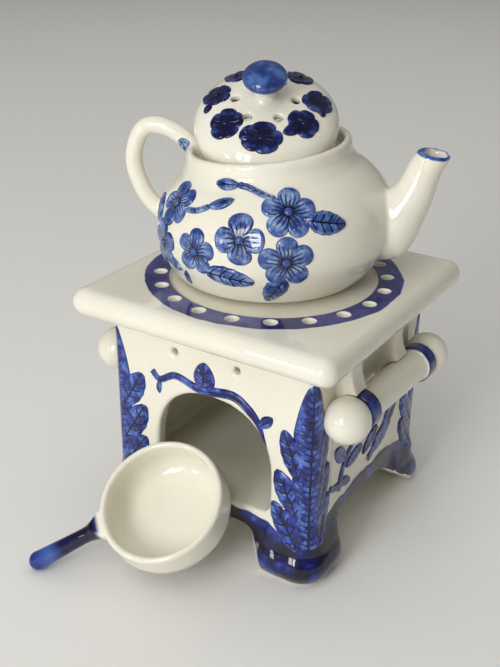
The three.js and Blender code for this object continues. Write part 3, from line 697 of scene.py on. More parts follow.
def strip(relief, surface, line, half_width, height, groove=0.0, veins=6, across=10, steps=24):
    """Adds a raised strip along a line of surface places; half_width is a function of 0 to 1.

    U runs across the strip and V along it, so that the glaze can draw this many pairs of veins.
    """
    spots = [surface(*place) for place in along_curve(line, steps)]
    lane = relief.loops.layers.uv.get("UVMap") or relief.loops.layers.uv.new("UVMap")
    rows = []
    for i, (point, normal) in enumerate(spots):
        share = i / steps
        ahead = spots[min(i + 1, steps)][0] - spots[max(i - 1, 0)][0]
        side = ahead.cross(normal).normalized()
        half = max(half_width(share), 0.02)
        row = []
        for k in range(across + 1):
            u = 2 * k / across - 1
            swell = math.sqrt(max(1 - u**4, 0)) * min(1, half / 1.2)
            lift = height * swell - groove * math.exp(-((u / 0.14) ** 2)) - SINK
            ground, _ = surface.skin.meet(point + side * u * half + normal * LOOK_FROM, -normal)
            uv = (k / across, share * veins / VEINS_IN_V)
            row.append((relief.verts.new((ground + normal * lift) * MM), uv))
        rows.append(row)
    for low, high in zip(rows, rows[1:]):
        for k in range(across):
            corners = [low[k], low[k + 1], high[k + 1], high[k]]
            face = relief.faces.new([corner[0] for corner in corners])
            face.smooth = True
            for loop, (_, place) in zip(face.loops, corners):
                loop[lane].uv = place


def leaf_width(width, lobes=0, fullest=0.43):
    """Half width along a leaf that is widest at a share of its length, with a scalloped edge."""
    power = math.log(0.5) / math.log(fullest)

    def half(share):
        scallop = 1 + 0.03 * math.cos(2 * math.pi * lobes * share + 0.6) if lobes else 1
        return width / 2 * scallop * math.sin(math.pi * min(share, 1) ** power) ** 0.58
    return half


def corner_width(width):
    """Full width for seven tenths of the way up, then a round shoulder."""
    return lambda share: width / 2 * min(1, 1.7 * (1 - share) ** 0.42)


def bud_width(width):
    """Blunt where it leaves its stem, with a pointed end."""
    return lambda share: width / 2 * math.sin(math.pi * min(0.08 + 0.92 * share, 1) ** 1.15) ** 0.7


def twig_width(start, end):
    """From one width to another, and drawn in at the very end."""
    return lambda share: (start + (end - start) * share) / 2 * min(1, 8 * (1 - share) + 0.25)


def branch_width(share):
    """The branch over the door: slender at its fork, stout past its leaf, and pointed at its end."""
    return (1.35 + 0.75 * math.sin(math.pi * min(share / 1.3, 1)) ** 2) * min(1, 0.2 + 5 * (1 - share))


class Laid:
    """A surface function together with the skin it looks at."""

    def __init__(self, function, skin):
        self.function, self.skin = function, skin

    def __call__(self, *place):
        return self.function(*place)


POT_SIDE, HANDLE_ROOT = Laid(on_pot, pot_skin), Laid(on_handle_root, pot_skin)
LID_TOP = Laid(on_lid, lid_skin)
STOVE_FACES = [Laid(on_stove(face), stove_skin) for face in range(4)]
STOVE_CORNERS = [Laid(on_corner(face), stove_skin) for face in range(4)]

# %% A flower, in Geometry Nodes
def petal_mesh(name, length, width, height):
    """One flat petal that points along X, domed, with U across it and V from the middle outwards."""
    across, widest, start = 14, 0.6, 0.7
    shares = [widest * i / 8 for i in range(8)]
    shares += [widest + (1 - widest) * math.sin(math.radians(90 * i / 10)) for i in range(11)]
    petal = bmesh.new()
    lane = petal.loops.layers.uv.new("UVMap")
    grid = []
    for v in shares:
        past = max(v - widest, 0) / (1 - widest)
        half = width / 2 * math.sqrt(max(1 - past**2, 0.0004))
        half *= 0.34 + 0.66 * math.sin(math.pi / 2 * min(v / widest, 1))
        row = []
        for k in range(across + 1):
            u = 2 * k / across - 1
            reach = start + (length - start) * v
            dish = 0.3 * (1 - u * u) * math.sin(math.pi * min(v / 0.95, 1)) + 0.3 * (1 - v)
            lift = height * ((1 - u**6) * (1 - past**6)) ** 0.5 * (1 - dish) - 0.15
            row.append((petal.verts.new(Vector((reach, u * half, lift)) * MM), (k / across, v)))
        grid.append(row)
    for low, high in zip(grid, grid[1:]):
        for k in range(across):
            corners = [low[k], high[k], high[k + 1], low[k + 1]]
            face = petal.faces.new([corner[0] for corner in corners])
            face.smooth = True
            for loop, (_, place) in zip(face.loops, corners):
                loop[lane].uv = place
    mesh = bpy.data.meshes.new(name)
    petal.to_mesh(mesh)
    petal.free()
    made = bpy.data.objects.new(name, mesh)
    bpy.context.collection.objects.link(made)
    return made


flower_tree, flower_in, flower_out = new_geometry_tree(
    "flower",
    Petals=("NodeSocketInt", 5),
    Turn=("NodeSocketFloat", 0.0),
    Eye=("NodeSocketFloat", 0.0016),
    Seed=("NodeSocketInt", 1),
    Finish=("NodeSocketMaterial", None),
)
petal_count = flower_in.outputs["Petals"]
spots = add_node(flower_tree, "GeometryNodeMeshCircle", {"Vertices": petal_count, "Radius": 1e-5})
index = add_node(flower_tree, "GeometryNodeInputIndex")
step = add_node(flower_tree, "ShaderNodeMath", {0: 2 * math.pi, 1: petal_count}, operation="DIVIDE")
turned_by = add_node(
    flower_tree, "ShaderNodeMath", {0: index, 1: step, 2: flower_in.outputs["Turn"]}, operation="MULTIPLY_ADD"
)
wobble = add_node(
    flower_tree, "FunctionNodeRandomValue",
    {2: -0.09, 3: 0.09, "Seed": flower_in.outputs["Seed"]}, data_type="FLOAT",
)
angle = add_node(flower_tree, "ShaderNodeMath", {0: turned_by, 1: wobble.outputs[1]}, operation="ADD")
every_other = add_node(flower_tree, "ShaderNodeMath", {0: index, 1: 2.0}, operation="MODULO")
lean = add_node(flower_tree, "ShaderNodeMath", {0: every_other, 1: -0.03}, operation="MULTIPLY")
rotation = add_node(flower_tree, "ShaderNodeCombineXYZ", {"Y": lean, "Z": angle})
size = add_node(
    flower_tree, "FunctionNodeRandomValue",
    {2: 0.93, 3: 1.05, "Seed": flower_in.outputs["Seed"]}, data_type="FLOAT",
)
petals = add_node(
    flower_tree, "GeometryNodeInstanceOnPoints",
    {
        "Points": spots, "Instance": flower_in.outputs["Geometry"],
        "Rotation": rotation, "Scale": size.outputs[1],
    },
)
eye = add_node(
    flower_tree, "GeometryNodeMeshUVSphere",
    {"Segments": 20, "Rings": 10, "Radius": flower_in.outputs["Eye"]},
)
eye_dome = add_node(
    flower_tree, "GeometryNodeTransform",
    {"Geometry": eye, "Translation": (0, 0, 0.0004), "Scale": (1, 1, 0.62)},
)
eye_marked = add_node(
    flower_tree, "GeometryNodeStoreNamedAttribute",
    {"Geometry": eye_dome, "Name": "eye", "Value": 1.0}, data_type="FLOAT", domain="POINT",
)
joined = add_node(flower_tree, "GeometryNodeJoinGeometry")
flower_tree.links.new(petals.outputs["Instances"], joined.inputs["Geometry"])
flower_tree.links.new(eye_marked.outputs["Geometry"], joined.inputs["Geometry"])
real_flower = add_node(flower_tree, "GeometryNodeRealizeInstances", {"Geometry": joined})
smooth_flower = add_node(flower_tree, "GeometryNodeSetShadeSmooth", {"Geometry": real_flower})
glazed_flower = add_node(
    flower_tree, "GeometryNodeSetMaterial",
    {"Geometry": smooth_flower, "Material": flower_in.outputs["Finish"]},
)
flower_tree.links.new(glazed_flower.outputs["Geometry"], flower_out.inputs["Geometry"])


def press_flower(
    relief, surface, place, radius, petals, turn, seed, width=None, height=1.0, eye=1.5, squash=1.0
):
    """Makes a flat flower and presses it on to the surface at a place; squash makes it lower and wider."""
    width = width or (1.02 if petals == 4 else 0.84) * radius
    flower = petal_mesh("petal", radius, width, height)
    run_tree(flower, flower_tree, Petals=petals, Turn=math.radians(turn), Eye=eye * MM, Seed=seed)
    point, normal = surface(*place)
    level = Vector((0, 0, 1)).cross(normal).normalized()
    upward = normal.cross(level)
    for vertex in flower.data.vertices:
        flat = vertex.co / MM
        above = point + level * flat.x / squash**0.5 + upward * flat.y * squash + normal * LOOK_FROM
        ground, _ = surface.skin.meet(above, -normal)
        vertex.co = (ground + normal * flat.z) * MM
    relief.from_mesh(flower.data)
    bpy.data.objects.remove(flower)


def finish_relief(name, relief):
    """Makes the gathered strips or flowers one object."""
    mesh = bpy.data.meshes.new(name)
    relief.to_mesh(mesh)
    relief.free()
    made = bpy.data.objects.new(name, mesh)
    bpy.context.collection.objects.link(made)
    print(f"{name}: {len(mesh.polygons)} faces")
    return made

# %% Flowers and leaves on the pot
# Each place is [angle round the pot, height up the pot]; the other side is a mirror image.
POT_FLOWERS = [
    ((-117.6, 37.4), 8.7, 5, 36), ((-97.4, 23.8), 8.8, 5, 15), ((-73.8, 29.4), 9.3, 4, 5),
    ((-50.1, 36.8), 9.3, 5, 12), ((-53.7, 20.5), 9.7, 5, 21), ((-123.1, 22.5), 8.8, 5, 20),
]
POT_LEAVES = [
    ((-92.4, 17.0), (-68.6, 13.5), 8.6), ((-41.6, 33.4), (-23.5, 29.6), 9.0),
    ((-55.0, 14.5), (-65.2, 4.6), 8.6), ((-119.5, 17.5), (-109.0, 14.6), 5.0),
    ((-129.3, 29.1), (-143.1, 36.6), 6.5), ((-106.3, 15.0), (-108.5, 8.0), 2.6),
]
HANDLE_LEAF = [(-33.4, 54.2), (-31.6, 51.2), (-30.5, 48.4)]
POT_TWIGS = [
    [(-107, 36.6), (-100, 37), (-92, 38.8)], [(-56.5, 40.8), (-64, 42.4), (-72, 44.4), (-79, 45.2)],
]
POT_BUDS = [((-93.3, 38.5), (-78.6, 41.0), 4.6), ((-77.3, 44.9), (-94.5, 45.3), 4.6)]

pot_flowers, pot_leaves = bmesh.new(), bmesh.new()
for mirrored in (False, True):
    def there(place):
        """The place, or its mirror image in the plane of spout and handle."""
        return (2 * SPOUT_HEADING - place[0], place[1]) if mirrored else place
    for seed, (place, radius, petals, turn) in enumerate(POT_FLOWERS):
        turn = 180 - turn if mirrored else turn
        press_flower(pot_flowers, POT_SIDE, there(place), radius, petals, turn, seed)
    for base, point, width in POT_LEAVES:
        lobes = 5 if width > 6 else 3
        strip(pot_leaves, POT_SIDE, [there(base), there(point)], leaf_width(width, lobes), 0.95, 0.3, lobes)
    for line in POT_TWIGS:
        strip(pot_leaves, POT_SIDE, [there(place) for place in line], twig_width(2.4, 2.6), 0.9, across=8)
    for base, point, width in POT_BUDS:
        strip(pot_leaves, POT_SIDE, [there(base), there(point)], bud_width(width), 1.0, 0.2, 1)
strip(pot_leaves, HANDLE_ROOT, HANDLE_LEAF, leaf_width(5.0, 3), 0.6, 0.2, 3)
pot_flowers = finish_relief("pot_flowers", pot_flowers)
pot_leaves = finish_relief("pot_leaves", pot_leaves)

# %% Flowers on the lid
# Each place is [angle round the lid, distance from its axis].
LID_FLOWERS = [
    ((-112.2, 17.0), 6.5, 5, 30, 1.0), ((-63.1, 17.6), 7.5, 5, 80, 0.84), ((-8.1, 17.0), 6.0, 5, 55, 1.0),
    ((-164.5, 18.2), 6.0, 5, 10, 0.9), ((34, 18.8), 6.2, 5, 0, 0.9), ((80, 19.4), 5.8, 5, 40, 0.9),
    ((118, 19.6), 5.8, 5, 25, 0.9), ((156, 19.4), 5.4, 5, 60, 0.9),
]
LID_LEAVES = [
    ((-16.0, 16.9), (-38.0, 16.6), 4.8), ((-151, 20.2), (-141, 22.8), 3.8), ((25, 19.6), (14, 21.8), 3.8),
]
LID_SEED = 20

lid_flowers, lid_leaves = bmesh.new(), bmesh.new()
for seed, (place, radius, petals, turn, squash) in enumerate(LID_FLOWERS):
    press_flower(
        lid_flowers, LID_TOP, place, radius, petals, turn, LID_SEED + seed,
        width=1.08 * radius, height=0.9, eye=1.1, squash=squash,
    )
for base, point, width in LID_LEAVES:
    strip(lid_leaves, LID_TOP, [base, point], leaf_width(width), 0.8, 0.2)
lid_flowers = finish_relief("lid_flowers", lid_flowers)
lid_leaves = finish_relief("lid_leaves", lid_leaves)

# %% Leaves and branches on the stove
# Places are [along the face, height]; a corner's long leaf lies on the edge between two faces.
RIGHT_COLUMN = [
    ((39.8, 44.1), (32.3, 64.6), 9.4), ((39.6, 28.6), (29.8, 47.1), 10.8),
    ((41.0, 15.5), (28.1, 32.6), 10.4),
]
LEFT_COLUMN = [
    ((-40.4, 51), (-30.6, 68.3), 10.0), ((-40.8, 36), (-29.6, 54.4), 10.4),
    ((-41, 23.5), (-29.7, 40.4), 10.2), ((-41.5, 13), (-30.5, 28), 9.6),
]
SIDE_COLUMN = [
    ((-40, 43), (-36, 65), 8.6), ((-40, 30), (-33.5, 50), 9.4), ((-41, 17), (-32, 36), 9.4),
    ((40, 43), (36, 66), 8.6), ((40, 30), (30.5, 47), 9.4), ((41, 17), (30.5, 36), 9.4),
]
ARCH_BRANCH = [
    (-25.9, 70.9), (-22.2, 68.2), (-15.1, 71.7), (-6.4, 69.6), (-2.1, 69.3), (3.9, 70.3), (10.6, 70.9),
    (15.5, 68.8), (21.3, 63.4), (25.1, 54.4),
]
ARCH_TWIG = [(-22.3, 68.2), (-22.9, 65), (-22.8, 61.6)]
ARCH_LEAF, ARCH_BUD = [(-2.1, 69.0), (-1.9, 81.0)], [(22.0, 61.8), (27.6, 67.4)]
CORNER_LEAF = [(0, 17), (0, 50), (0, 85)]
SIDE_BRANCHES = [
    [(-22, 30), (-20.5, 36), (-17.2, 42.4), (-11.5, 46)], [(-22.3, 32.5), (-27, 33.2), (-31.5, 36)],
    [(2.2, 31.3), (9, 34), (16.5, 38), (24, 45.4), (28, 54)],
]
SIDE_LEAVES = [
    ((-21.5, 33), (-12.5, 30), 4.8), ((-17.2, 41.5), (-26.5, 50), 6.8), ((-17.0, 37.8), (-3.5, 41), 6.8),
    ((-13, 44.5), (-6.5, 56), 6.4), ((-3.0, 36), (9.5, 43.5), 6.8), ((5, 32.5), (21.5, 40.5), 9.0),
    ((14, 37.5), (26, 49), 8.6), ((24, 46), (19, 58), 6.4), ((26, 50), (35, 61), 6.6),
]

stove_leaves = bmesh.new()
for face, (side, corner) in enumerate(zip(STOVE_FACES, STOVE_CORNERS)):
    if face % 2 == 0:
        for base, point, width in RIGHT_COLUMN + LEFT_COLUMN:
            strip(stove_leaves, side, [base, point], leaf_width(width, 5, 0.52), 0.8, 0.3, 5)
        strip(stove_leaves, side, ARCH_BRANCH, branch_width, 0.85, veins=1, steps=60)
        strip(stove_leaves, side, ARCH_TWIG, bud_width(2.6), 0.8, veins=1, across=8)
        strip(stove_leaves, side, ARCH_LEAF, leaf_width(10.0), 0.9, 0.3, 4)
        strip(stove_leaves, side, ARCH_BUD, bud_width(4.8), 0.9, veins=1, across=8)
    else:
        for base, point, width in SIDE_COLUMN + SIDE_LEAVES:
            strip(stove_leaves, side, [base, point], leaf_width(width, 5, 0.5), 0.8, 0.3, 5)
        for line in SIDE_BRANCHES:
            strip(stove_leaves, side, line, twig_width(3.8, 2.8), 0.8, veins=1, across=8)
    strip(stove_leaves, corner, CORNER_LEAF, corner_width(12.0), 0.7, 0.2, 26, across=16, steps=48)
stove_leaves = finish_relief("stove_leaves", stove_leaves)

# %% [markdown]
# ## Glaze
# The clay is an ivory earthenware with a clear gloss glaze: a soft, slightly uneven base with a hard
# clear coat over it. Cobalt oxide is brushed on under the glaze, so it is pale where it is thin,
# full blue on the reliefs, and almost black where it pools in the grooves.

# %% Colours, and what every glaze shares
def paint(code):
    """An sRGB hex code as linear red, green, blue and alpha."""
    channels = [int(code[i:i + 2], 16) / 255 for i in (1, 3, 5)]
    linear = [c / 12.92 if c <= 0.04045 else ((c + 0.055) / 1.055) ** 2.4 for c in channels]
    return (*linear, 1.0)


IVORY, IVORY_THICK = paint("#EEEBDE"), paint("#E6E1CD")
COBALT_THIN, COBALT = paint("#7C9CCB"), paint("#3A5CAB")
COBALT_DEEP, COBALT_POOLED = paint("#1F2F8F"), paint("#070632")


def new_glaze(name):
    """A material with its coordinates in mm: dull clay under a hard, smooth and clear glaze."""
    material = bpy.data.materials.new(name)
    material.use_nodes = True
    tree = material.node_tree
    tree.nodes.clear()
    where = add_node(tree, "ShaderNodeTexCoord")
    in_mm = add_node(
        tree, "ShaderNodeVectorMath", {0: where.outputs["Object"], "Scale": 1 / MM}, operation="SCALE"
    )
    shader = add_node(
        tree, "ShaderNodeBsdfPrincipled",
        {
            "Roughness": 0.35, "IOR": 1.5, "Specular IOR Level": 0.1,
            "Coat Weight": 1.0, "Coat Roughness": 0.03,
        },
    )
    add_node(tree, "ShaderNodeOutputMaterial", {"Surface": shader})
    return material, tree, in_mm, shader


def mask_past(tree, *limits):
    """1 where every value is past its limit; a limit is (value, where the mask is 0, where it is 1)."""
    mask = 1.0
    for value, at_0, at_1 in limits:
        ramp = add_node(tree, "ShaderNodeMapRange", {"Value": value, "From Min": at_0, "From Max": at_1})
        mask = add_node(tree, "ShaderNodeMath", {0: mask, 1: ramp}, operation="MULTIPLY")
    return mask


def wave_bump(tree, in_mm, shader, groove=None):
    """Waves about 9 mm long, as a dipped glaze has, and grooves where a pattern is given."""
    waves = add_node(tree, "ShaderNodeTexNoise", {"Vector": in_mm, "Scale": 0.11, "Detail": 1.0})
    bump = add_node(tree, "ShaderNodeBump", {"Height": waves, "Strength": 0.35, "Distance": 0.0004})
    if groove is not None:
        pressed = {"Height": groove, "Strength": 0.6, "Distance": 0.0003, "Normal": bump}
        bump = add_node(tree, "ShaderNodeBump", pressed, invert=True)
    tree.links.new(bump.outputs["Normal"], shader.inputs["Normal"])
    tree.links.new(bump.outputs["Normal"], shader.inputs["Coat Normal"])


def ivory_colour(tree, in_mm):
    """Ivory that is a touch warmer where the glaze is thick; the clouds are about 25 mm wide."""
    clouds = add_node(tree, "ShaderNodeTexNoise", {"Vector": in_mm, "Scale": 0.04, "Detail": 2.0})
    tint = add_node(tree, "ShaderNodeMix", {"Factor": clouds, 6: IVORY, 7: IVORY_THICK}, data_type="RGBA")
    return tint.outputs[2]


def colours_along(tree, share, stops):
    """The colour at a share from 0 to 1; a stop is (share, colour)."""
    ramp = add_node(tree, "ShaderNodeValToRGB", {"Fac": share})
    for place, _ in stops[1:-1]:
        ramp.color_ramp.elements.new(place)
    for element, (place, colour) in zip(ramp.color_ramp.elements, stops):
        element.position = place
        element.color = colour
    return ramp


def cobalt_colour(tree, in_mm, grain, stops):
    """Brushed cobalt: a noise with this grain in mm runs through the colour stops."""
    brushed = {"Vector": in_mm, "Scale": 1 / grain, "Detail": 3.0, "Roughness": 0.6}
    return colours_along(tree, add_node(tree, "ShaderNodeTexNoise", brushed), stops)

# %% Plain ivory glaze, for the lid
def plain_ivory(name):
    """Ivory clay with nothing painted on it."""
    material, tree, in_mm, shader = new_glaze(name)
    tree.links.new(ivory_colour(tree, in_mm), shader.inputs["Base Color"])
    wave_bump(tree, in_mm, shader)
    return material


ivory_glaze = plain_ivory("clear glaze on ivory earthenware")

# %% Painted ivory: a mask tells where the brush went
def painted_ivory(name, mask_of, grain, stops, waver=2.8):
    """Ivory glaze with cobalt where mask_of(tree, x, y, z) is 1, in mm from the foot of the stove's middle.

    The hand that paints isn't steady: its line strays by up to half of waver, in mm.
    """
    material, tree, in_mm, shader = new_glaze(name)
    hand = add_node(tree, "ShaderNodeTexNoise", {"Vector": in_mm, "Scale": 0.12, "Detail": 1.0})
    unsteady = add_node(
        tree, "ShaderNodeVectorMath", {0: hand.outputs["Color"], 1: (0.5, 0.5, 0.5)}, operation="SUBTRACT"
    )
    shaken = add_node(
        tree, "ShaderNodeVectorMath", {0: unsteady, 1: 3 * (waver,), 2: in_mm}, operation="MULTIPLY_ADD"
    )
    centred = add_node(
        tree, "ShaderNodeVectorMath", {0: shaken, 1: tuple(STOVE_MIDDLE)}, operation="SUBTRACT"
    )
    x, y, z = add_node(tree, "ShaderNodeSeparateXYZ", {0: centred}).outputs
    mixed = add_node(
        tree, "ShaderNodeMix",
        {
            "Factor": mask_of(tree, x, y, z),
            6: ivory_colour(tree, in_mm),
            7: cobalt_colour(tree, in_mm, grain, stops),
        },
        data_type="RGBA",
    )
    tree.links.new(mixed.outputs[2], shader.inputs["Base Color"])
    wave_bump(tree, in_mm, shader)
    return material

# %% The slab's painted ring
RING_INSIDE, RING_OUTSIDE, RING_EDGE = 39.8, 49.7, 0.2


def ring_mask(tree, x, y, z):
    """A ring round the seat; the pits and the slab's edges stay bare, because they don't face up."""
    across = add_node(tree, "ShaderNodeCombineXYZ", {"X": x, "Y": y})
    radius = add_node(tree, "ShaderNodeVectorMath", {0: across}, operation="LENGTH").outputs["Value"]
    surface = add_node(tree, "ShaderNodeNewGeometry")
    level = add_node(tree, "ShaderNodeSeparateXYZ", {0: surface.outputs["Normal"]}).outputs["Z"]
    return mask_past(
        tree, (radius, RING_INSIDE - RING_EDGE, RING_INSIDE + RING_EDGE),
        (radius, RING_OUTSIDE + RING_EDGE, RING_OUTSIDE - RING_EDGE), (level, 0.88, 0.95),
    )


slab_glaze = painted_ivory(
    "ivory slab with a brushed cobalt ring", ring_mask, 14,
    [(0.34, paint("#1B1A5E")), (0.5, paint("#2F2F76")), (0.66, paint("#484E90"))], 1.6,
)

# %% The stove's painted foot band and corners
APRON_CROWN, SIDE_CROWN_RISE, APRON_FALL, APRON_HALF, APRON_POWER = 24.0, 4.0, 7.7, 39.5, 4.4
CORNER_LOW, CORNER_LOW_INSET, CORNER_HIGH, CORNER_HIGH_INSET = 20.0, 37.6, 62.0, 41.8
CORNER_FADE_START, CORNER_FADE_END = 77.0, 80.0


def stove_mask(tree, x, y, z):
    """Cobalt below a line that falls towards the corners, and up the corners; cut faces stay bare."""
    wide = add_node(tree, "ShaderNodeMath", {0: x}, operation="ABSOLUTE")
    deep = add_node(tree, "ShaderNodeMath", {0: y}, operation="ABSOLUTE")
    along = add_node(tree, "ShaderNodeMath", {0: wide, 1: deep}, operation="MINIMUM")
    share = add_node(tree, "ShaderNodeMath", {0: along, 1: APRON_HALF}, operation="DIVIDE")
    steep = add_node(tree, "ShaderNodeMath", {0: share, 1: APRON_POWER}, operation="POWER")
    on_side = add_node(tree, "ShaderNodeMath", {0: wide, 1: deep}, operation="GREATER_THAN")
    crown = add_node(
        tree, "ShaderNodeMath", {0: on_side, 1: SIDE_CROWN_RISE, 2: APRON_CROWN}, operation="MULTIPLY_ADD"
    )
    line = add_node(tree, "ShaderNodeMath", {0: steep, 1: -APRON_FALL, 2: crown}, operation="MULTIPLY_ADD")
    under_line = add_node(tree, "ShaderNodeMath", {0: line, 1: z}, operation="SUBTRACT")
    band = mask_past(tree, (under_line, -0.25, 0.25))
    inset = add_node(
        tree, "ShaderNodeMapRange",
        {
            "Value": z, "From Min": CORNER_LOW, "From Max": CORNER_HIGH,
            "To Min": CORNER_LOW_INSET, "To Max": CORNER_HIGH_INSET,
        },
    )
    past_inset = add_node(tree, "ShaderNodeMath", {0: along, 1: inset}, operation="SUBTRACT")
    stripe = mask_past(tree, (past_inset, 0.0, 0.5), (z, CORNER_FADE_END, CORNER_FADE_START))
    brushed = add_node(tree, "ShaderNodeMath", {0: band, 1: stripe}, operation="MAXIMUM")
    outward = add_node(tree, "ShaderNodeCombineXYZ", {"X": x, "Y": y})
    away = add_node(tree, "ShaderNodeVectorMath", {0: outward}, operation="NORMALIZE")
    surface = add_node(tree, "ShaderNodeNewGeometry")
    facing = add_node(
        tree, "ShaderNodeVectorMath", {0: away, 1: surface.outputs["Normal"]}, operation="DOT_PRODUCT"
    )
    outside = mask_past(tree, (facing.outputs["Value"], 0.48, 0.6))
    return add_node(tree, "ShaderNodeMath", {0: brushed, 1: outside}, operation="MULTIPLY")


stove_glaze = painted_ivory(
    "ivory stove with pooled cobalt feet", stove_mask, 9,
    [(0.44, paint("#05041F")), (0.56, paint("#0D1158")), (0.66, paint("#2540A0")), (0.78, paint("#5C7EC6"))],
)

# %% The rails' painted bands
def rail_mask(tree, x, y, z):
    """Cobalt on the raised band near each end of a rail, counted from the rail's middle."""
    from_middle = add_node(tree, "ShaderNodeMath", {0: y, 1: -RAIL_PLACE}, operation="ADD")
    along = add_node(tree, "ShaderNodeMath", {0: from_middle}, operation="ABSOLUTE")
    return mask_past(
        tree, (along, band_inner - 0.2, band_inner + 0.1), (along, band_outer + 0.5, band_outer + 0.2)
    )


rail_glaze = painted_ivory(
    "ivory rail with cobalt bands", rail_mask, 6,
    [(0.36, paint("#121044")), (0.52, paint("#252F78")), (0.7, paint("#45609E"))], 0.48,
)

# %% The pot's glaze, with a blue rim on the spout
RIM_DEPTH, RIM_REACH = 1.25, 11.5


def spout_rim_mask(tree, x, y, z):
    """Cobalt on the last millimetre of the spout, but not down its bore or on anything far from it."""
    place = add_node(tree, "ShaderNodeCombineXYZ", {"X": x, "Y": y, "Z": z})
    tip_here = tuple(spout_tip - STOVE_MIDDLE)
    from_tip = add_node(tree, "ShaderNodeVectorMath", {0: place, 1: tip_here}, operation="SUBTRACT")
    ahead = add_node(
        tree, "ShaderNodeVectorMath", {0: from_tip, 1: tuple(spout_axis)}, operation="DOT_PRODUCT"
    ).outputs["Value"]
    near = add_node(tree, "ShaderNodeVectorMath", {0: from_tip}, operation="LENGTH").outputs["Value"]
    return mask_past(
        tree, (ahead, -RIM_DEPTH - 0.25, -RIM_DEPTH + 0.25), (near, RIM_REACH + 0.5, RIM_REACH - 0.5),
        (near, SPOUT_BORE, SPOUT_BORE + 0.6),
    )


pot_glaze = painted_ivory(
    "ivory pot with a cobalt spout rim", spout_rim_mask, 4,
    [(0.34, COBALT_DEEP), (0.5, COBALT), (0.66, COBALT_THIN)], 0.48,
)

# %% [markdown]
# ## Cobalt on the reliefs
# Fine grooves are pressed into every petal and leaf before firing, and the blue runs into them. The
# petals' grooves fan out from the middle, so they follow the petal's own U; a leaf has one long vein
# and slanting side veins, drawn from both U and V. The grooves are dark and also bend the surface.

# %% Petals
def petal_glaze(name, pale, full, deep, groove_count, dark_share, eye_colour):
    """Blue that deepens towards the petal's tip; its heart is dark up to dark_share of its length."""
    material, tree, in_mm, shader = new_glaze(name)
    lane = add_node(tree, "ShaderNodeUVMap", uv_map="UVMap")
    u, v, _ = add_node(tree, "ShaderNodeSeparateXYZ", {0: lane}).outputs
    shake = add_node(tree, "ShaderNodeTexNoise", {"Vector": in_mm, "Scale": 0.3, "Detail": 1.0})
    bent = add_node(tree, "ShaderNodeMath", {0: shake, 1: 0.12, 2: u}, operation="MULTIPLY_ADD")
    fan = add_node(tree, "ShaderNodeMath", {0: bent, 1: groove_count}, operation="MULTIPLY")
    saw = add_node(tree, "ShaderNodeMath", {0: fan, 1: 1.0}, operation="PINGPONG")
    thin = add_node(tree, "ShaderNodeMath", {0: v, 1: 0.5, 2: 0.38}, operation="MULTIPLY_ADD")
    past_thin = add_node(tree, "ShaderNodeMath", {0: saw, 1: thin}, operation="SUBTRACT")
    reach = add_node(tree, "ShaderNodeMath", {0: shake, 1: 0.7, 2: v}, operation="MULTIPLY_ADD")
    groove = mask_past(tree, (past_thin, 0.0, 0.2), (reach, 1.14, 0.86))
    heart = mask_past(tree, (v, dark_share, dark_share * 0.4))
    off_middle = add_node(tree, "ShaderNodeMath", {0: u, 1: 0.5}, operation="SUBTRACT")
    side = add_node(tree, "ShaderNodeMath", {0: off_middle}, operation="ABSOLUTE")
    rim = add_node(
        tree, "ShaderNodeMapRange", {"Value": side, "From Min": 0.455, "From Max": 0.495, "To Max": 0.75}
    )
    pooled = add_node(tree, "ShaderNodeMath", {0: groove, 1: heart}, operation="MAXIMUM")
    dark = add_node(tree, "ShaderNodeMath", {0: pooled, 1: rim}, operation="MAXIMUM")
    body = cobalt_colour(tree, in_mm, 4, [(0.36, deep), (0.5, full), (0.64, pale)])
    tip = add_node(
        tree, "ShaderNodeMapRange", {"Value": v, "From Min": 0.66, "From Max": 1.0, "To Max": 0.7}
    )
    edged = add_node(tree, "ShaderNodeMix", {"Factor": tip, 6: body, 7: deep}, data_type="RGBA")
    inked = add_node(
        tree, "ShaderNodeMix", {"Factor": dark, 6: edged.outputs[2], 7: COBALT_POOLED}, data_type="RGBA"
    )
    eye = add_node(tree, "ShaderNodeAttribute", attribute_name="eye")
    eyed = add_node(
        tree, "ShaderNodeMix",
        {"Factor": eye.outputs["Fac"], 6: inked.outputs[2], 7: eye_colour}, data_type="RGBA",
    )
    tree.links.new(eyed.outputs[2], shader.inputs["Base Color"])
    wave_bump(tree, in_mm, shader, groove)
    return material


pot_petal_glaze = petal_glaze(
    "brushed cobalt on petals", paint("#8FA6CC"), paint("#4E6CAA"), paint("#22387E"), 10.0, 0.3,
    paint("#3A5698"),
)
lid_petal_glaze = petal_glaze(
    "pooled cobalt on petals", paint("#4B68B2"), paint("#18246F"), paint("#080730"), 8.0, 0.9,
    paint("#0E1048"),
)

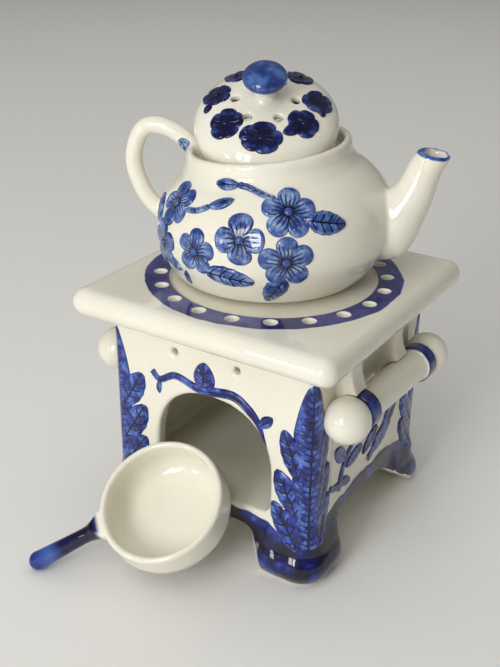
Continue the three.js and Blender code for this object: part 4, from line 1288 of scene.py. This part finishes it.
# %% Leaves, buds and twigs
def leaf_glaze(name, pale, full, deep):
    """Blue with a dark rib, dark slanting veins and a dark edge."""
    material, tree, in_mm, shader = new_glaze(name)
    lane = add_node(tree, "ShaderNodeUVMap", uv_map="UVMap")
    u, v, _ = add_node(tree, "ShaderNodeSeparateXYZ", {0: lane}).outputs
    shake = add_node(tree, "ShaderNodeTexNoise", {"Vector": in_mm, "Scale": 0.25, "Detail": 1.0})
    aside = add_node(tree, "ShaderNodeMath", {0: shake, 1: 0.1, 2: u}, operation="MULTIPLY_ADD")
    off_rib = add_node(tree, "ShaderNodeMath", {0: aside, 1: 0.55}, operation="SUBTRACT")
    out = add_node(tree, "ShaderNodeMath", {0: off_rib}, operation="ABSOLUTE")
    slant = add_node(tree, "ShaderNodeMath", {0: out, 1: -0.3, 2: v}, operation="MULTIPLY_ADD")
    fern = add_node(tree, "ShaderNodeMath", {0: slant, 1: 2 * VEINS_IN_V}, operation="MULTIPLY")
    saw = add_node(tree, "ShaderNodeMath", {0: fern, 1: 1.0}, operation="PINGPONG")
    reach = add_node(tree, "ShaderNodeMath", {0: shake, 1: 0.3, 2: out}, operation="MULTIPLY_ADD")
    veins = mask_past(tree, (saw, 0.7, 0.86), (reach, 0.54, 0.46))
    rib = mask_past(tree, (out, 0.05, 0.03))
    edge = add_node(
        tree, "ShaderNodeMapRange", {"Value": out, "From Min": 0.44, "From Max": 0.49, "To Max": 0.7}
    )
    pressed = add_node(tree, "ShaderNodeMath", {0: veins, 1: rib}, operation="MAXIMUM")
    dark = add_node(tree, "ShaderNodeMath", {0: pressed, 1: edge}, operation="MAXIMUM")
    body = cobalt_colour(tree, in_mm, 4, [(0.36, deep), (0.5, full), (0.64, pale)])
    inked = add_node(tree, "ShaderNodeMix", {"Factor": dark, 6: body, 7: COBALT_POOLED}, data_type="RGBA")
    tree.links.new(inked.outputs[2], shader.inputs["Base Color"])
    wave_bump(tree, in_mm, shader, dark)
    return material


pot_leaf_glaze = leaf_glaze("brushed cobalt on leaves", paint("#859DC6"), paint("#44629F"), paint("#1F347C"))
stove_leaf_glaze = leaf_glaze("full cobalt on leaves", paint("#5676C2"), paint("#213A96"), paint("#0C1158"))

# %% The knob's solid blue
def solid_cobalt(name, grain, stops):
    """A piece that was dipped in blue, so its colour only clouds a little."""
    material, tree, in_mm, shader = new_glaze(name)
    tree.links.new(cobalt_colour(tree, in_mm, grain, stops).outputs["Color"], shader.inputs["Base Color"])
    wave_bump(tree, in_mm, shader)
    return material


knob_glaze = solid_cobalt(
    "mottled cobalt on the knob", 7,
    [(0.34, paint("#1A255E")), (0.5, paint("#2D4787")), (0.66, paint("#4E6FA8"))],
)

# %% The pan's glaze, with a blue handle
HANDLE_BLUES = [
    (0.07, IVORY), (0.11, paint("#2C4192")), (0.17, paint("#07061F")), (0.6, paint("#0A0D42")),
    (0.76, paint("#3C5CA6")), (0.97, paint("#16267C")),
]


def pan_glaze_of(name):
    """Ivory bowl and flare, then a handle nearly black where the blue pooled, brighter towards its end."""
    material, tree, in_mm, shader = new_glaze(name)
    start, finish = pan_place @ grip_root, pan_place @ grip_end
    axis = tuple((finish - start).normalized())
    from_root = add_node(tree, "ShaderNodeVectorMath", {0: in_mm, 1: tuple(start)}, operation="SUBTRACT")
    along = add_node(
        tree, "ShaderNodeVectorMath", {0: from_root, 1: axis}, operation="DOT_PRODUCT"
    ).outputs["Value"]
    across = add_node(tree, "ShaderNodeVectorMath", {0: from_root, 1: axis}, operation="CROSS_PRODUCT")
    aside = add_node(tree, "ShaderNodeVectorMath", {0: across}, operation="LENGTH").outputs["Value"]
    shake = add_node(tree, "ShaderNodeTexNoise", {"Vector": in_mm, "Scale": 0.25, "Detail": 2.0})
    moved = add_node(tree, "ShaderNodeMath", {0: shake, 1: 4.0, 2: along}, operation="MULTIPLY_ADD")
    share = add_node(tree, "ShaderNodeMath", {0: moved, 1: grip_length + PAN_END}, operation="DIVIDE")
    on_handle = mask_past(tree, (along, 1.3, 2.8), (aside, 5.6, 4.4))
    mixed = add_node(
        tree, "ShaderNodeMix",
        {"Factor": on_handle, 6: ivory_colour(tree, in_mm), 7: colours_along(tree, share, HANDLE_BLUES)},
        data_type="RGBA",
    )
    tree.links.new(mixed.outputs[2], shader.inputs["Base Color"])
    wave_bump(tree, in_mm, shader)
    return material


pan_glaze = pan_glaze_of("ivory pan with pooled cobalt on its handle")

# %% Each piece gets its glaze
for piece, material in (
    (stove, stove_glaze), (slab, slab_glaze), (rails[0], rail_glaze), (rails[1], rail_glaze),
    (pot, pot_glaze), (lid, ivory_glaze), (knob, knob_glaze), (pan, pan_glaze),
    (pot_flowers, pot_petal_glaze), (pot_leaves, pot_leaf_glaze), (lid_flowers, lid_petal_glaze),
    (lid_leaves, lid_petal_glaze), (stove_leaves, stove_leaf_glaze),
):
    piece.data.materials.clear()
    piece.data.materials.append(material)
print("glazes:", len(bpy.data.materials))

# %% [markdown]
# ## Onto the bodies
# Each finished piece rides on the body of the measured model that it belongs to, and stands for the
# nodes whose place it takes, so that the lid, the pot and the pan lift off with their decoration.

# %% Ride and replace
for piece, body, slot, nodes in (
    (stove, "stove", "ivory_glaze", [
        "stove_walls", "stove_floor", "rail_bracket_left_front", "rail_bracket_left_back",
        "rail_bracket_right_front", "rail_bracket_right_back",
    ]),
    (slab, "stove", "ivory_glaze", ["top_slab"]),
    (rails[0], "stove", "ivory_glaze", ["rail_left"]),
    (rails[1], "stove", "ivory_glaze", ["rail_right"]),
    (stove_leaves, "stove", "cobalt_glaze", []),
    (pot, "pot", "ivory_glaze", ["pot_body", "pot_spout", "pot_handle"]),
    (pot_flowers, "pot", "cobalt_glaze", []),
    (pot_leaves, "pot", "cobalt_glaze", []),
    (lid, "lid", "ivory_glaze", ["lid_dome"]),
    (knob, "lid", "cobalt_glaze", ["lid_knob"]),
    (lid_flowers, "lid", "cobalt_glaze", []),
    (lid_leaves, "lid", "cobalt_glaze", []),
    (pan, "pan", "ivory_glaze", ["pan_bowl", "pan_handle"]),
):
    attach(piece, body)
    if nodes:
        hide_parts(*nodes)

# %% [markdown]
# ## Floor and light
# The real set stands by a window. Three narrow lamps in front are its panes, and the glaze mirrors
# them as small bright marks. Two wide lamps overhead give the soft light of the room. The glaze
# doesn't mirror those, because they would lay a grey veil over the dark cobalt. The floor is plain
# and pale, and the world looks paler to the camera than the light that it gives.

# %% Floor
floor_mesh = bpy.data.meshes.new("floor")
floor_mesh.from_pydata([(-4, -4, 0), (4, -4, 0), (4, 4, 0), (-4, 4, 0)], [], [(0, 1, 2, 3)])
floor = bpy.data.objects.new("floor", floor_mesh)
bpy.context.collection.objects.link(floor)
floor_paint = bpy.data.materials.new("matt pale board")
floor_paint.use_nodes = True
board = floor_paint.node_tree.nodes["Principled BSDF"]
board.inputs["Base Color"].default_value = paint("#F1EFEA")
board.inputs["Roughness"].default_value = 0.75
floor_mesh.materials.append(floor_paint)

# %% Light
def soft_lamp(name, place, aim, size, power, mirrored=True):
    """A rectangular lamp in metres and watts; where mirrored is off, no glaze shows its image."""
    lamp_data = bpy.data.lights.new(name, "AREA")
    lamp_data.shape = "RECTANGLE"
    lamp_data.size, lamp_data.size_y = size
    lamp_data.energy = power
    lamp = bpy.data.objects.new(name, lamp_data)
    lamp.location = place
    lamp.rotation_euler = (Vector(aim) - Vector(place)).to_track_quat("-Z", "Y").to_euler()
    lamp.visible_glossy = mirrored
    bpy.context.collection.objects.link(lamp)
    return lamp


soft_lamp("far window pane", (-0.46, -0.98, 0.18), (0, 0, 0.05), (0.10, 0.26), 0.8)
soft_lamp("left window pane", (-0.12, -1.1, 0.44), (0, 0, 0.08), (0.15, 0.5), 2.6)
soft_lamp("right window pane", (0.08, -1.12, 0.44), (0, 0, 0.08), (0.15, 0.5), 4)
soft_lamp("front ceiling", (0.05, -0.9, 1.1), (0, 0, 0.08), (0.9, 0.9), 5, mirrored=False)
soft_lamp("ceiling", (-0.3, 0.5, 1.5), (0, 0.2, 0), (2.4, 2.4), 11, mirrored=False)
print("lamps:", len(bpy.data.lights))

# %% The room's pale world
ROOM_LIGHT, ROOM_LOOK = 0.2, 0.75
world = bpy.data.worlds.new("pale room")
world.use_nodes = True
sky = world.node_tree.nodes["Background"]
sky.inputs["Color"].default_value = paint("#F2F1EE")
ray = add_node(world.node_tree, "ShaderNodeLightPath")
strength = add_node(
    world.node_tree, "ShaderNodeMapRange",
    {"Value": ray.outputs["Is Camera Ray"], "To Min": ROOM_LIGHT, "To Max": ROOM_LOOK},
)
world.node_tree.links.new(strength.outputs["Result"], sky.inputs["Strength"])
bpy.context.scene.world = world
bpy.context.scene.view_settings.view_transform = "Standard"
